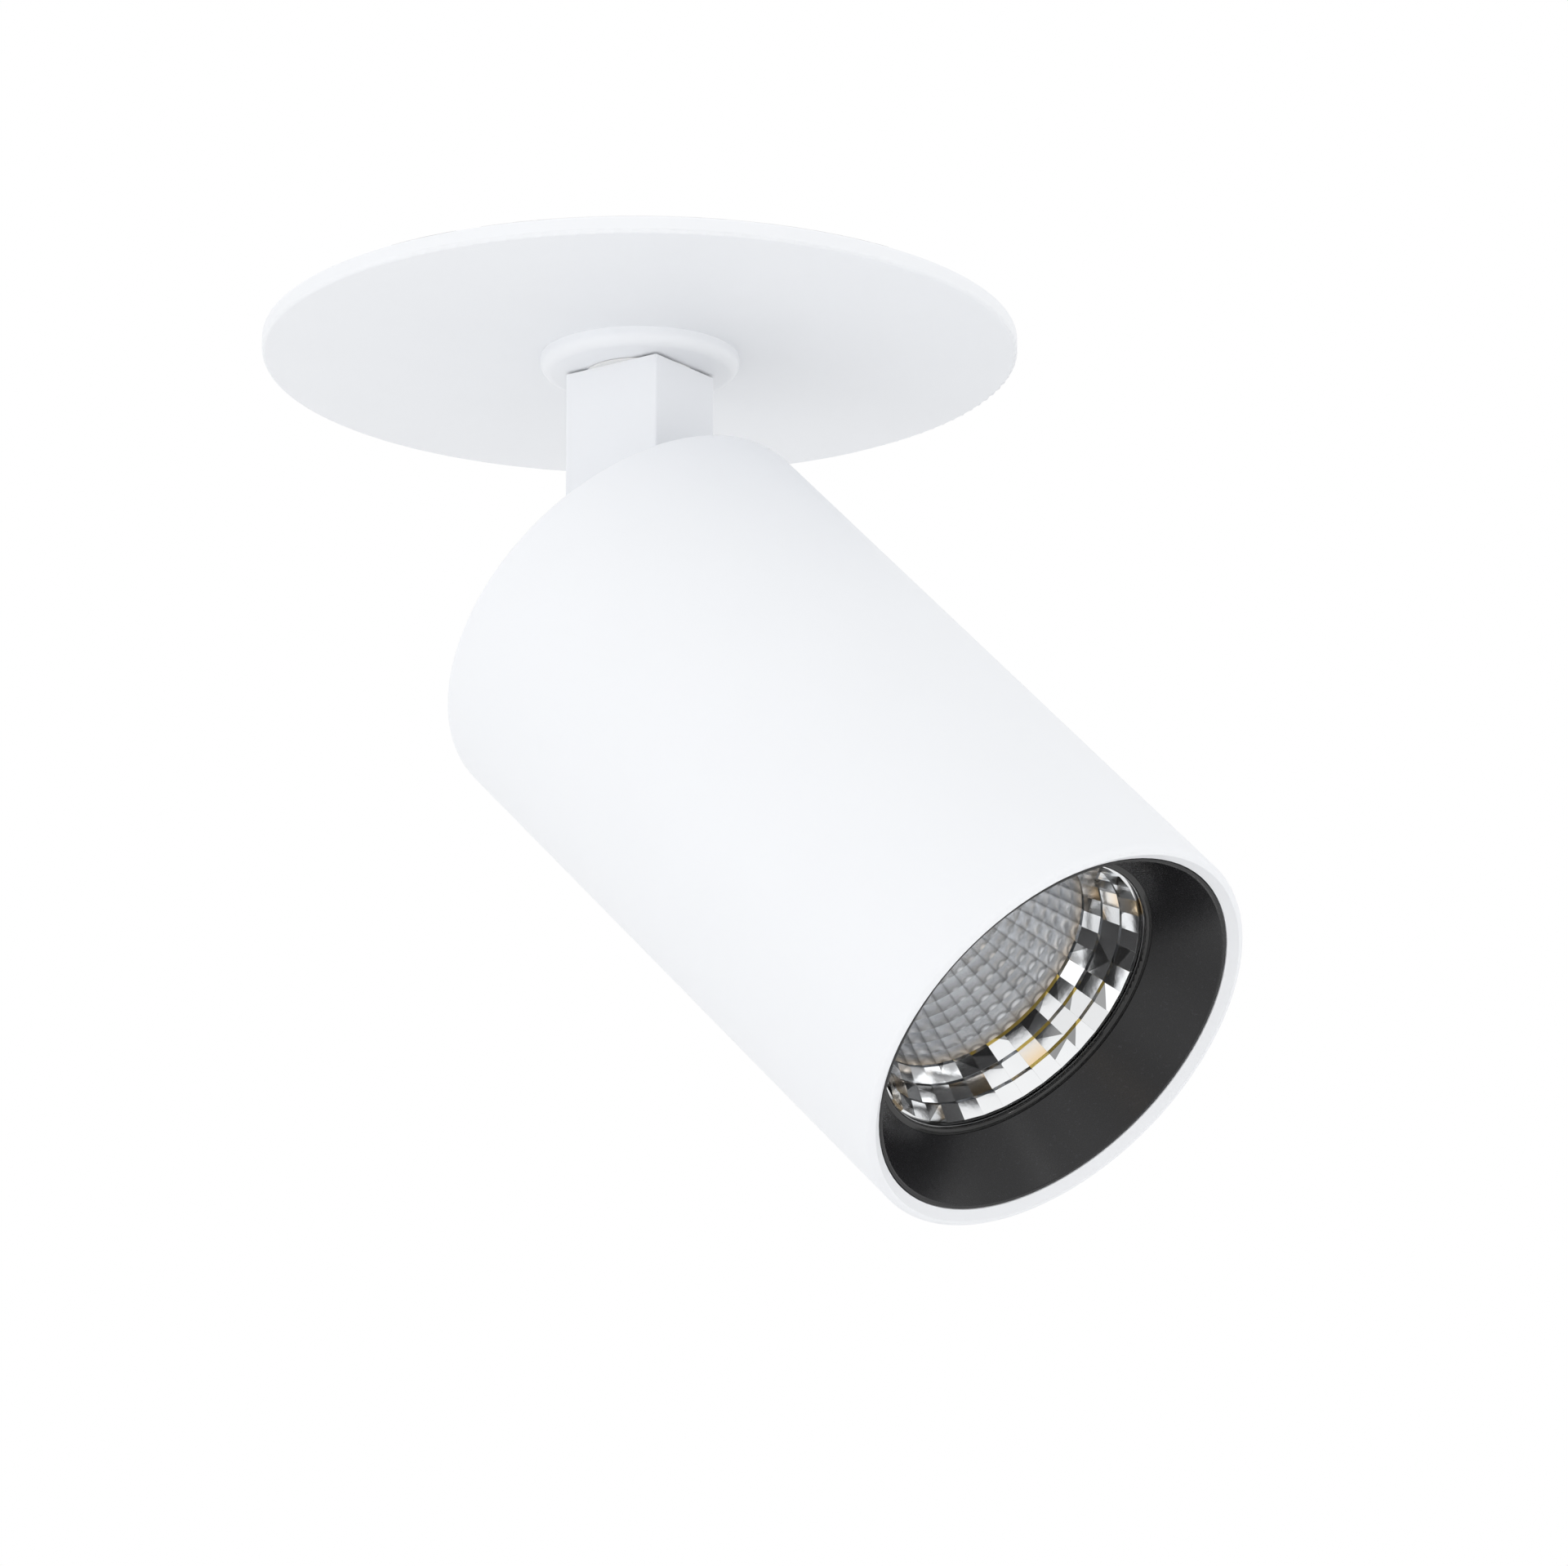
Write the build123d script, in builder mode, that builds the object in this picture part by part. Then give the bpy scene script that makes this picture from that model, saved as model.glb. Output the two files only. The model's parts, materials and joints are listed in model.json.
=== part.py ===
from build123d import *
import os
from math import atan2, cos, degrees, pi, radians, sin, sqrt, tan

# Recessed ceiling spotlight with a swivelling, tilting cylinder head.
# The origin is the plate's centre, in the face that lies on the ceiling, and +Z is up.
# The head tilts in the XZ plane, towards +X. All sizes are in millimetres.

# Clearances
slip = 0.05
bore_gap = 0.15
swivel_gap = 0.3
slot_gap = 0.3

# M3 fixings
m3_radius = 1.5
m3_head_radius = 2.75
m3_head_height = 1.8
m3_sink_depth = 1.3

# Ceiling plate
plate_radius = 47.5
plate_thickness = 2.0
plate_edge_round = 0.5
gasket_margin = 2.0
gasket_width = 5.0
gasket_depth = 1.0

# Mounting frame that goes into the ceiling's cut-out
frame_radius = 33.0
frame_wall = 1.6
frame_height = 9.0
frame_floor = 1.5
frame_nut_width = 5.5
frame_nut_height = 2.4
stud_count = 3
stud_margin = 4.0
stud_height = 5.0
lead_notch_width = 14.0
lead_notch_sill = 4.8
clip_notch_depth = 3.0

# Spring clips
clip_pin_radius = 2.0
clip_pin_inset = 6.0
clip_pin_height = 14.0
clip_pin_end = 1.2
clip_pin_head_radius = 3.0
clip_pin_head_thickness = 1.0
pin_ring_thickness = 0.6
ear_thickness = 1.5
ear_radius = 3.4
ear_gap = 0.8
wire_radius = 0.9
coil_gap = 0.3
coil_turns = 3
coil_pitch = 2.45
coil_start = 2.0
clip_tail = 5.0
clip_reach = 31.0
clip_bend_at = 23.0
clip_drop = 3.4
clip_lift = 1.2
clip_bend_radius = 8.0
clip_corner_radius = 3.6
sleeve_wall = 1.0
sleeve_end_gap = 0.6
wire_samples = 1200

# Terminal block
block_depth = 12.2
block_width = 16.0
block_height = 12.5
block_wall_gap = 1.2
block_corner_round = 0.8
pole_spacing = 9.0
supply_hole_radius = 1.5
supply_hole_depth = 4.5
supply_hole_height = 5.0
clamp_screw_radius = 1.9
clamp_screw_length = 3.5
clamp_screw_recess = 0.5
clamp_screw_inset = 2.2
lamp_screw_inset = 4.6
block_screw_grip = 5.0

# Swivel
collar_radius = 12.5
collar_height = 2.2
collar_edge_round = 1.4
tube_wall = 1.75
tube_socket_depth = 12.0
tube_flat_depth = 0.8
tube_end = 2.2
bush_wall = 1.45
bush_flange_width = 2.5
bush_flange_thickness = 1.0
swivel_washer_width = 1.9
stop_washer_width = 4.0
stop_washer_thickness = 1.2
stop_pin_radius = 1.25
stop_pin_height = 3.0
stop_pin_gap = 1.75
stop_tab_width = 2.5
swivel_spring_width = 3.6
swivel_spring_thickness = 0.6
swivel_spring_height = 1.0
swivel_nut_rim = 2.0
swivel_nut_height = 4.0

# Post between the collar and the head
post_depth = 14.2
post_width = 12.2
post_wall = 1.1
post_edge_round = 0.3
pivot_drop = 44.6

# Head shell and rear cap
tilt_at_rest = 45.0
tilt_limit = 60.0
head_radius = 27.75
head_length = 90.0
shell_wall = 2.05
lip_round = 0.85
lip_bevel_width = 1.1
lip_bevel_depth = 0.9
rear_edge_round = 0.3
axis_offset = 5.0
cap_thickness = 2.0
cap_screw_up = 4.0
cap_screw_inset = 8.55
cap_screw_length = 8.0
standoff_width = 5.5
standoff_stud_length = 3.4

# Pivot
pivot_thread_radius = 2.0
pivot_shoulder_radius = 2.5
pivot_head_radius = 4.0
pivot_head_height = 2.2
pivot_hex_width = 2.5
pivot_hex_depth = 1.2
friction_washer_thickness = 0.5
pivot_spring_thickness = 0.4
pivot_spring_height = 0.65
yoke_cheek = 2.5
yoke_eye_margin = 0.2
yoke_foot_length = 14.0
yoke_base_gap = 0.6
yoke_base_thickness = 2.4
yoke_base_length = 27.0
yoke_base_corner = 2.0
yoke_screw_reach = 10.2
yoke_screw_side = 6.0
yoke_screw_length = 6.0

# Heat sink
sink_core_radius = 9.0
sink_fins = 16
sink_fin_thickness = 1.6
sink_disc = 4.0

# Lamp module
pad_thickness = 0.4
board_width = 19.0
board_thickness = 1.2
phosphor_radius = 7.25
phosphor_thickness = 0.5
holder_thickness = 3.7
holder_screw_gap = 1.85
holder_screw_inset = 3.2
holder_screw_length = 7.0

# Reflector, ring and baffle, from the shell's bore inwards
baffle_recess = 0.95
baffle_depth = 7.6
baffle_lip = 0.45
baffle_taper = 4.9
baffle_wall = 2.6
baffle_rim_height = 3.5
ring_thickness = 1.0
ring_reveal = 0.85
ring_bead_round = 0.4
ring_skirt = 0.9
reflector_gap = 0.35
reflector_flange_width = 3.3
reflector_flange_thickness = 1.0
reflector_throat_radius = 9.0
reflector_neck = 1.2
reflector_wall = 1.2
reflector_facets = 40
reflector_turn = 6.0
flare_width = 3.1
flare_depth = 7.35
flare_rows = 3
bowl_depth = 14.3
bowl_rows = 10

# Inner lead
lead_radius = 1.6
lead_room = 0.6
lead_slot_room = 0.9
lead_slot_reach = 7.0
lead_seat_depth = 2.5
lead_seat_inset = 2.1
lead_rise = 1.5
lead_swivel_gap = 0.5
lead_pivot_gap = 2.3
lead_side = 14.0
lead_bend_share = 0.45
lead_bend_places = [(0, 0.04), (0.83, 0.44), (1, 0.74)]
lead_end_gap = 1.0

# Levels of the swivel along Z
collar_bottom = -plate_thickness - collar_height
post_top = collar_bottom - swivel_gap
stop_washer_bottom = bush_flange_thickness + slip
swivel_spring_bottom = stop_washer_bottom + stop_washer_thickness
swivel_nut_bottom = swivel_spring_bottom + swivel_spring_height + slip
tube_top = swivel_nut_bottom + swivel_nut_height + tube_end
tube_bottom = post_top - tube_socket_depth

# Radii of the swivel
tube_radius = post_width / 2 - post_wall
tube_bore_radius = tube_radius - tube_wall
tube_seat_radius = tube_radius + slip
bush_radius = tube_seat_radius + bush_wall
bush_flange_radius = bush_radius + bush_flange_width
stop_washer_radius = tube_radius + stop_washer_width

# The frame's inside: the terminal block stands by its wall and the stop pin by the block
frame_inside = frame_radius - frame_wall
block_outer_x = block_wall_gap - frame_inside
block_inner_x = block_outer_x + block_depth
frame_hole_radius = -block_inner_x
stop_circle_radius = frame_hole_radius - stop_pin_gap - stop_pin_radius
stud_circle_radius = frame_hole_radius + stud_margin
block_top = frame_floor + block_height

# The head's own frame: its origin is the centre of the rear face, its z runs towards the
# front and its x points to the side that turns up as the head tilts.
yoke_eye_radius = pivot_head_radius + yoke_eye_margin
pivot_setback = cap_thickness + slot_gap + yoke_eye_radius
tilt = radians(tilt_at_rest)
pivot = Vector(0, 0, -pivot_drop)
head_forward = Vector(sin(tilt), 0, -cos(tilt))
head_up = Vector(cos(tilt), 0, sin(tilt))
rear_centre = pivot - head_forward * pivot_setback + head_up * axis_offset
head = Plane(origin=rear_centre, x_dir=head_up, z_dir=head_forward)
head_section = Plane(origin=rear_centre, x_dir=head_up, z_dir=(0, 1, 0))
head_axis = Axis(rear_centre, head_forward)
pivot_axis = Axis(pivot, (0, 1, 0))

# Stations along the head, from its rear face
yoke_base_at = pivot_setback + post_depth / 2 + yoke_base_gap
sink_rear_at = yoke_base_at + yoke_base_thickness
baffle_front_at = head_length - baffle_recess
baffle_rear_at = baffle_front_at - baffle_depth
reflector_front_at = baffle_rear_at - ring_thickness - 2 * slip
flare_end_at = reflector_front_at - flare_depth
reflector_rear_at = flare_end_at - bowl_depth
sink_front_at = reflector_rear_at - holder_thickness
board_front_at = sink_front_at + pad_thickness + board_thickness

# Radii of the head, from the shell inwards
shell_bore_radius = head_radius - shell_wall
inner_radius = shell_bore_radius - bore_gap
baffle_mouth_radius = inner_radius - baffle_lip
baffle_throat_radius = baffle_mouth_radius - baffle_taper
ring_hole_radius = baffle_throat_radius - ring_reveal
reflector_mouth_radius = ring_hole_radius - reflector_gap
reflector_flange_radius = reflector_mouth_radius + reflector_flange_width
reflector_neck_radius = reflector_throat_radius + reflector_wall
flare_end_radius = reflector_mouth_radius - flare_width
holder_screw_side = reflector_neck_radius + holder_screw_gap + m3_head_radius
holder_radius = holder_screw_side + holder_screw_inset

# Places of the head's fixings, across the head's axis
cap_screw_side = inner_radius - cap_screw_inset
cap_screw_places = [(cap_screw_up, cap_screw_side), (cap_screw_up, -cap_screw_side)]
holder_screw_places = [(0, holder_screw_side), (0, -holder_screw_side)]
yoke_screw_places = [
    (yoke_screw_reach - axis_offset, 0),
    (-yoke_screw_reach - axis_offset, yoke_screw_side),
    (-yoke_screw_reach - axis_offset, -yoke_screw_side),
]

# Stations out from the middle plane, along the tilt axis
post_side = post_width / 2
lead_slot_side = lead_radius + lead_slot_room
lead_bore_radius = lead_radius + lead_room
cheek_inner = post_side + friction_washer_thickness + 2 * slip
cheek_outer = cheek_inner + yoke_cheek
pivot_head_inner = cheek_outer + pivot_spring_height + 2 * slip
pivot_screw_end = pivot_head_inner + pivot_head_height
eye_bore_radius = pivot_shoulder_radius + slip


def flat_ring(plane, outer_radius, inner_radius, thickness):
    """A flat ring that stands on a plane."""
    with BuildPart() as ring:
        with BuildSketch(plane):
            Circle(outer_radius)
            Circle(inner_radius, mode=Mode.SUBTRACT)
        extrude(amount=thickness)
    return ring


def pan_head_screws(seat, places, length):
    """M3 screws that go in along the seat's normal and whose heads stand on the seat."""
    lifted = seat.offset(-slip)
    with BuildPart() as screws:
        with BuildSketch(lifted):
            with Locations(*places):
                Circle(m3_radius)
        extrude(amount=length + slip)
        with BuildSketch(lifted):
            with Locations(*places):
                Circle(m3_head_radius)
        extrude(amount=-m3_head_height)
    return screws


def dished_outline(bore, rim, base, thickness, height):
    """The section of a conical spring washer: radius across, height up."""
    Polyline(
        (bore, base + height),
        (bore, base + height - thickness),
        (rim, base),
        (rim, base + thickness),
        close=True,
    )


def biarc(start, start_tangent, end, end_tangent):
    """Two arcs that leave the start and reach the end along the given directions."""
    chord = end - start
    both = start_tangent + end_tangent
    square = 2 * start_tangent.dot(end_tangent) - 2
    linear = chord.dot(both)
    reach = (linear - sqrt(linear**2 - square * chord.dot(chord))) / square
    first_corner = start + start_tangent * reach
    second_corner = end - end_tangent * reach
    middle = (first_corner + second_corner) / 2
    TangentArc(start, middle, tangent=start_tangent)
    TangentArc(middle, end, tangent=second_corner - first_corner)


# Ceiling plate with a groove for the gasket, and the studs welded on its back
gasket_outer_radius = plate_radius - gasket_margin
gasket_inner_radius = gasket_outer_radius - gasket_width
with BuildPart() as ceiling_plate:
    with BuildSketch(Plane.XY.offset(-plate_thickness)):
        Circle(plate_radius)
        Circle(bush_radius + slip, mode=Mode.SUBTRACT)
    extrude(amount=plate_thickness)
    bottom_edges = ceiling_plate.edges().group_by(Axis.Z)[0]
    fillet(bottom_edges.sort_by(SortBy.RADIUS)[-1], radius=plate_edge_round)
    with BuildSketch(Plane.XY):
        Circle(gasket_outer_radius)
        Circle(gasket_inner_radius, mode=Mode.SUBTRACT)
        with Locations((stop_circle_radius, 0)):
            Circle(stop_pin_radius + slip)
    extrude(amount=-gasket_depth, mode=Mode.SUBTRACT)

with BuildPart() as plate_studs:
    with BuildSketch(Plane.XY):
        with PolarLocations(stud_circle_radius, stud_count):
            Circle(m3_radius)
    extrude(amount=stud_height)

plate_gasket = flat_ring(
    Plane.XY.offset(-gasket_depth + slip),
    gasket_outer_radius - slip,
    gasket_inner_radius + slip,
    gasket_depth - slip,
)

with BuildPart() as stop_pin:
    with BuildSketch(Plane.XY.offset(-gasket_depth + slip)):
        with Locations((stop_circle_radius, 0)):
            Circle(stop_pin_radius)
    extrude(amount=gasket_depth - slip + stop_pin_height)

# Mounting frame: a pressed cup with a notch for the supply lead and ears for the clips
clip_pin_out = frame_radius - clip_pin_inset
pin_places = [(clip_pin_out, clip_pin_height), (-clip_pin_out, clip_pin_height)]
coil_radius = clip_pin_radius + coil_gap + wire_radius
coil_end = coil_start + coil_turns * coil_pitch
ear_inner = coil_end + wire_radius + ear_gap
ear_outer = ear_inner + ear_thickness
block_screw_x = block_outer_x + (clamp_screw_inset + block_depth - lamp_screw_inset) / 2
with BuildPart() as mounting_frame:
    with BuildSketch(Plane.XY):
        Circle(frame_radius)
    extrude(amount=frame_height)
    with BuildSketch(Plane.XY.offset(frame_floor)):
        Circle(frame_inside)
    extrude(amount=frame_height, mode=Mode.SUBTRACT)
    with BuildSketch(Plane.XY.offset(lead_notch_sill)):
        with Locations((-frame_radius, 0)):
            Rectangle(2 * block_wall_gap + 2 * frame_wall, lead_notch_width)
    extrude(amount=frame_height, mode=Mode.SUBTRACT)
    with BuildSketch(Plane.XY.offset(frame_height - clip_notch_depth)):
        Rectangle(2 * ear_inner, 3 * frame_radius)
    extrude(amount=frame_height, mode=Mode.SUBTRACT)
    with BuildSketch(Plane.XY):
        Circle(frame_hole_radius)
        with PolarLocations(stud_circle_radius, stud_count):
            Circle(m3_radius + slip)
        with Locations((block_screw_x, 0)):
            Circle(m3_radius + slip)
    extrude(amount=frame_floor, mode=Mode.SUBTRACT)
    for end in (1, -1):
        with BuildSketch(Plane.YZ.offset(end * ear_inner)):
            with Locations(*pin_places):
                Rectangle(2 * ear_radius, clip_pin_height, align=(Align.CENTER, Align.MAX))
                Circle(ear_radius)
                Circle(clip_pin_radius + slip, mode=Mode.SUBTRACT)
        extrude(amount=end * ear_thickness)

with BuildPart() as frame_nuts:
    with BuildSketch(Plane.XY.offset(frame_floor)):
        with PolarLocations(stud_circle_radius, stud_count):
            RegularPolygon(frame_nut_width / 2, 6, major_radius=False)
            Circle(m3_radius + slip, mode=Mode.SUBTRACT)
    extrude(amount=frame_nut_height)

# Pins of the spring clips, each with a head at one end and a push-on ring at the other
pin_seat_at = ear_outer + slip
with BuildPart() as spring_pins:
    with BuildSketch(Plane.YZ.offset(pin_seat_at)):
        with Locations(*pin_places):
            Circle(clip_pin_radius)
    extrude(amount=-2 * pin_seat_at - pin_ring_thickness - clip_pin_end)
    with BuildSketch(Plane.YZ.offset(pin_seat_at)):
        with Locations(*pin_places):
            Circle(clip_pin_head_radius)
    extrude(amount=clip_pin_head_thickness)

with BuildPart() as pin_rings:
    with BuildSketch(Plane.YZ.offset(-pin_seat_at)):
        with Locations(*pin_places):
            Circle(clip_pin_head_radius)
            Circle(clip_pin_radius + slip, mode=Mode.SUBTRACT)
    extrude(amount=-pin_ring_thickness)

# Terminal block: two poles, a clamp screw on each side of both, and one fixing screw
lead_seat_x = block_inner_x - lead_seat_inset
pole_side = pole_spacing / 2
clamp_places = [
    (x, y)
    for x in (block_outer_x + clamp_screw_inset, block_inner_x - lamp_screw_inset)
    for y in (pole_side, -pole_side)
]
clamp_well_depth = clamp_screw_length + clamp_screw_recess
block_screw_seat = frame_floor + block_screw_grip
with BuildPart() as terminal_block:
    with BuildSketch(Plane.XY.offset(frame_floor)):
        with Locations((block_outer_x, 0)):
            Rectangle(block_depth, block_width, align=(Align.MIN, Align.CENTER))
    extrude(amount=block_height)
    fillet(terminal_block.edges().filter_by(Axis.Z), radius=block_corner_round)
    with BuildSketch(Plane.XY.offset(block_top)):
        with Locations(*clamp_places):
            Circle(clamp_screw_radius + slip)
    extrude(amount=-clamp_well_depth - slip, mode=Mode.SUBTRACT)
    with BuildSketch(Plane.XY.offset(block_top)):
        with Locations((lead_seat_x, 0)):
            Circle(lead_radius + slip)
    extrude(amount=-lead_seat_depth - slip, mode=Mode.SUBTRACT)
    with BuildSketch(Plane.XY.offset(block_screw_seat)):
        with Locations((block_screw_x, 0)):
            Circle(m3_head_radius + slip)
    extrude(amount=block_height, mode=Mode.SUBTRACT)
    with BuildSketch(Plane.XY.offset(frame_floor)):
        with Locations((block_screw_x, 0)):
            Circle(m3_radius + slip)
    extrude(amount=block_height, mode=Mode.SUBTRACT)
    with BuildSketch(Plane.YZ.offset(block_outer_x)):
        with Locations(
            (pole_side, frame_floor + supply_hole_height),
            (-pole_side, frame_floor + supply_hole_height),
        ):
            Circle(supply_hole_radius)
    extrude(amount=supply_hole_depth, mode=Mode.SUBTRACT)

with BuildPart() as clamp_screws:
    with BuildSketch(Plane.XY.offset(block_top - clamp_screw_recess)):
        with Locations(*clamp_places):
            Circle(clamp_screw_radius)
    extrude(amount=-clamp_screw_length)

block_screw = pan_head_screws(
    -Plane.XY.offset(block_screw_seat),
    [(block_screw_x, 0)],
    block_screw_seat - 2 * slip,
)

# Spring clips: each is one wire with two coils on the pin and a cross wire at its tip
coil_top = clip_pin_height + coil_radius
quarter_turns = 4 * coil_turns
cross_wire_side = coil_end - clip_corner_radius
tip_height = coil_top - clip_drop + clip_lift
clips = {}
for name, side in (("left", 1), ("right", -1)):
    with BuildPart() as clip_spring:
        with BuildLine() as wire_line:
            along = Vector(0, side, 0)
            tail_end = Vector(coil_start, side * clip_pin_out, coil_top)
            Line(tail_end - along * clip_tail, tail_end)
            start = tail_end
            start_tangent = along
            for quarter in range(1, quarter_turns + 1):
                angle = quarter * pi / 2
                end = Vector(
                    coil_start + coil_pitch * quarter / 4,
                    side * (clip_pin_out + coil_radius * sin(angle)),
                    clip_pin_height + coil_radius * cos(angle),
                )
                turning = Vector(
                    coil_pitch / (2 * pi),
                    side * coil_radius * cos(angle),
                    -coil_radius * sin(angle),
                ).normalized()
                end_tangent = turning
                if quarter == quarter_turns:
                    end_tangent = Vector(0, side * clip_bend_at, -clip_drop).normalized()
                biarc(start, start_tangent, end, end_tangent)
                start = end
                start_tangent = end_tangent
            FilletPolyline(
                start,
                (coil_end, side * (clip_pin_out + clip_bend_at), coil_top - clip_drop),
                (coil_end, side * (clip_pin_out + clip_reach), tip_height),
                (0, side * (clip_pin_out + clip_reach), tip_height),
                radius=[clip_bend_radius, clip_corner_radius],
            )
            mirror(about=Plane.YZ)
        with BuildSketch(Plane(tail_end - along * clip_tail, z_dir=along)):
            Circle(wire_radius)
        sweep(path=wire_line.wire())
    with BuildPart() as clip_sleeve:
        with BuildSketch(Plane.YZ):
            with Locations((side * (clip_pin_out + clip_reach), tip_height)):
                Circle(wire_radius + sleeve_wall)
                Circle(wire_radius + slip, mode=Mode.SUBTRACT)
        extrude(amount=cross_wire_side - sleeve_end_gap, both=True)
    clips[f"clip_spring_{name}"] = clip_spring
    clips[f"clip_sleeve_{name}"] = clip_sleeve

# How close the clip's wire comes to itself, on points along its length
wire_path = wire_line.wire()
wire_points = [wire_path.position_at(step / wire_samples) for step in range(wire_samples + 1)]
steps_apart = round(pi * coil_radius / wire_path.length * wire_samples)
wire_gap = min(
    (wire_points[first] - wire_points[second]).length
    for first in range(len(wire_points))
    for second in range(first + steps_apart, len(wire_points))
)
print(f"clip wire: least gap to itself {wire_gap - 2 * wire_radius:.2f} mm")

# Swivel collar: the round boss that shows under the plate
with BuildPart() as swivel_collar:
    with BuildSketch(Plane.XY.offset(collar_bottom)):
        Circle(collar_radius)
        Circle(bush_radius + slip, mode=Mode.SUBTRACT)
    extrude(amount=collar_height)
    bottom_edges = swivel_collar.edges().group_by(Axis.Z)[0]
    fillet(bottom_edges.sort_by(SortBy.RADIUS)[-1], radius=collar_edge_round)

with BuildPart() as swivel_bush:
    with BuildSketch(Plane.XY.offset(collar_bottom + slip)):
        Circle(bush_radius)
        Circle(tube_seat_radius, mode=Mode.SUBTRACT)
    extrude(amount=-collar_bottom - slip)
    with BuildSketch(Plane.XY):
        Circle(bush_flange_radius)
        Circle(tube_seat_radius, mode=Mode.SUBTRACT)
    extrude(amount=bush_flange_thickness)

# Hollow tube that hangs the post: a flat on it keys the stop washer
tube_flat_at = tube_radius - tube_flat_depth
with BuildPart() as swivel_tube:
    with BuildSketch(Plane.XY.offset(tube_bottom)):
        Circle(tube_radius)
        Circle(tube_bore_radius, mode=Mode.SUBTRACT)
    extrude(amount=tube_top - tube_bottom)
    with BuildSketch(Plane.XY.offset(bush_flange_thickness)):
        with Locations((tube_flat_at, 0)):
            Rectangle(tube_radius, 2 * tube_radius, align=(Align.MIN, Align.CENTER))
    extrude(amount=tube_top, mode=Mode.SUBTRACT)

swivel_washer = flat_ring(
    Plane.XY.offset(post_top),
    tube_radius + swivel_washer_width,
    tube_seat_radius,
    swivel_gap - slip,
)

with BuildPart() as stop_washer:
    with BuildSketch(Plane.XY.offset(stop_washer_bottom)):
        Circle(stop_washer_radius)
        Rectangle(
            stop_circle_radius + stop_pin_radius,
            stop_tab_width,
            align=(Align.MAX, Align.CENTER),
        )
    extrude(amount=stop_washer_thickness)
    with BuildSketch(Plane.XY.offset(stop_washer_bottom)):
        Circle(tube_seat_radius)
        with Locations((tube_flat_at + slip, 0)):
            Rectangle(
                tube_radius, 2 * tube_radius, align=(Align.MIN, Align.CENTER), mode=Mode.SUBTRACT
            )
    extrude(amount=stop_washer_thickness, mode=Mode.SUBTRACT)

with BuildPart() as swivel_spring:
    with BuildSketch(Plane.XZ):
        with BuildLine():
            dished_outline(
                tube_seat_radius,
                tube_radius + swivel_spring_width,
                swivel_spring_bottom,
                swivel_spring_thickness,
                swivel_spring_height,
            )
        make_face()
    revolve(axis=Axis.Z)

with BuildPart() as swivel_nut:
    with BuildSketch(Plane.XY.offset(swivel_nut_bottom)):
        RegularPolygon(tube_radius + swivel_nut_rim, 6, major_radius=False)
        Circle(tube_seat_radius, mode=Mode.SUBTRACT)
    extrude(amount=swivel_nut_height)

# Post: a square bar with a round lower end, forked so that the lead can pass the pivot
with BuildPart() as post:
    with BuildSketch(Plane.XZ):
        with Locations((0, post_top)):
            Rectangle(post_depth, pivot_drop + post_top, align=(Align.CENTER, Align.MAX))
        with Locations((0, -pivot_drop)):
            Circle(post_depth / 2)
    extrude(amount=post_side, both=True)
    side_edges = post.faces().filter_by(Axis.Y).edges()
    fillet(side_edges - post.edges().group_by(Axis.Z)[-1], radius=post_edge_round)
    with BuildSketch(Plane.XY.offset(post_top)):
        Circle(tube_radius + slip)
    extrude(amount=-tube_socket_depth - slip, mode=Mode.SUBTRACT)
    with BuildSketch(Plane.XY.offset(post_top)):
        Circle(lead_bore_radius)
    extrude(amount=-pivot_drop - post_top, mode=Mode.SUBTRACT)
    with BuildSketch(Plane.XZ):
        with Locations((0, lead_slot_reach - pivot_drop)):
            Rectangle(
                2 * post_depth, lead_slot_reach + post_depth, align=(Align.CENTER, Align.MAX)
            )
    extrude(amount=lead_slot_side, both=True, mode=Mode.SUBTRACT)
    with BuildSketch(Plane.XZ):
        with Locations((0, -pivot_drop)):
            Circle(pivot_thread_radius + slip)
    extrude(amount=post_side, both=True, mode=Mode.SUBTRACT)

# Pivot screws: thread in the post, shoulder in the yoke's eye, one on each side
with BuildPart() as pivot_screws:
    with BuildSketch(Plane.XY.offset(-pivot_drop)):
        with BuildLine():
            Polyline(
                (0, lead_slot_side + 2 * slip),
                (pivot_thread_radius, lead_slot_side + 2 * slip),
                (pivot_thread_radius, post_side + slip),
                (pivot_shoulder_radius, post_side + slip),
                (pivot_shoulder_radius, pivot_head_inner),
                (pivot_head_radius, pivot_head_inner),
                (pivot_head_radius, pivot_screw_end),
                (0, pivot_screw_end),
                close=True,
            )
        make_face()
    revolve(axis=pivot_axis)
    with BuildSketch(Plane(pivot + Vector(0, pivot_screw_end, 0), z_dir=(0, 1, 0))):
        RegularPolygon(pivot_hex_width / 2, 6, major_radius=False)
    extrude(amount=-pivot_hex_depth, mode=Mode.SUBTRACT)
    mirror(about=Plane.XZ)

with BuildPart() as friction_washers:
    with BuildSketch(Plane(pivot + Vector(0, post_side + slip, 0), z_dir=(0, 1, 0))):
        Circle(yoke_eye_radius)
        Circle(eye_bore_radius, mode=Mode.SUBTRACT)
    extrude(amount=friction_washer_thickness)
    mirror(about=Plane.XZ)

with BuildPart() as pivot_springs:
    with BuildSketch(Plane.XY.offset(-pivot_drop)):
        with BuildLine():
            dished_outline(
                eye_bore_radius,
                yoke_eye_radius,
                cheek_outer + slip,
                pivot_spring_thickness,
                pivot_spring_height,
            )
        make_face()
    revolve(axis=pivot_axis)
    mirror(about=Plane.XZ)

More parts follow.
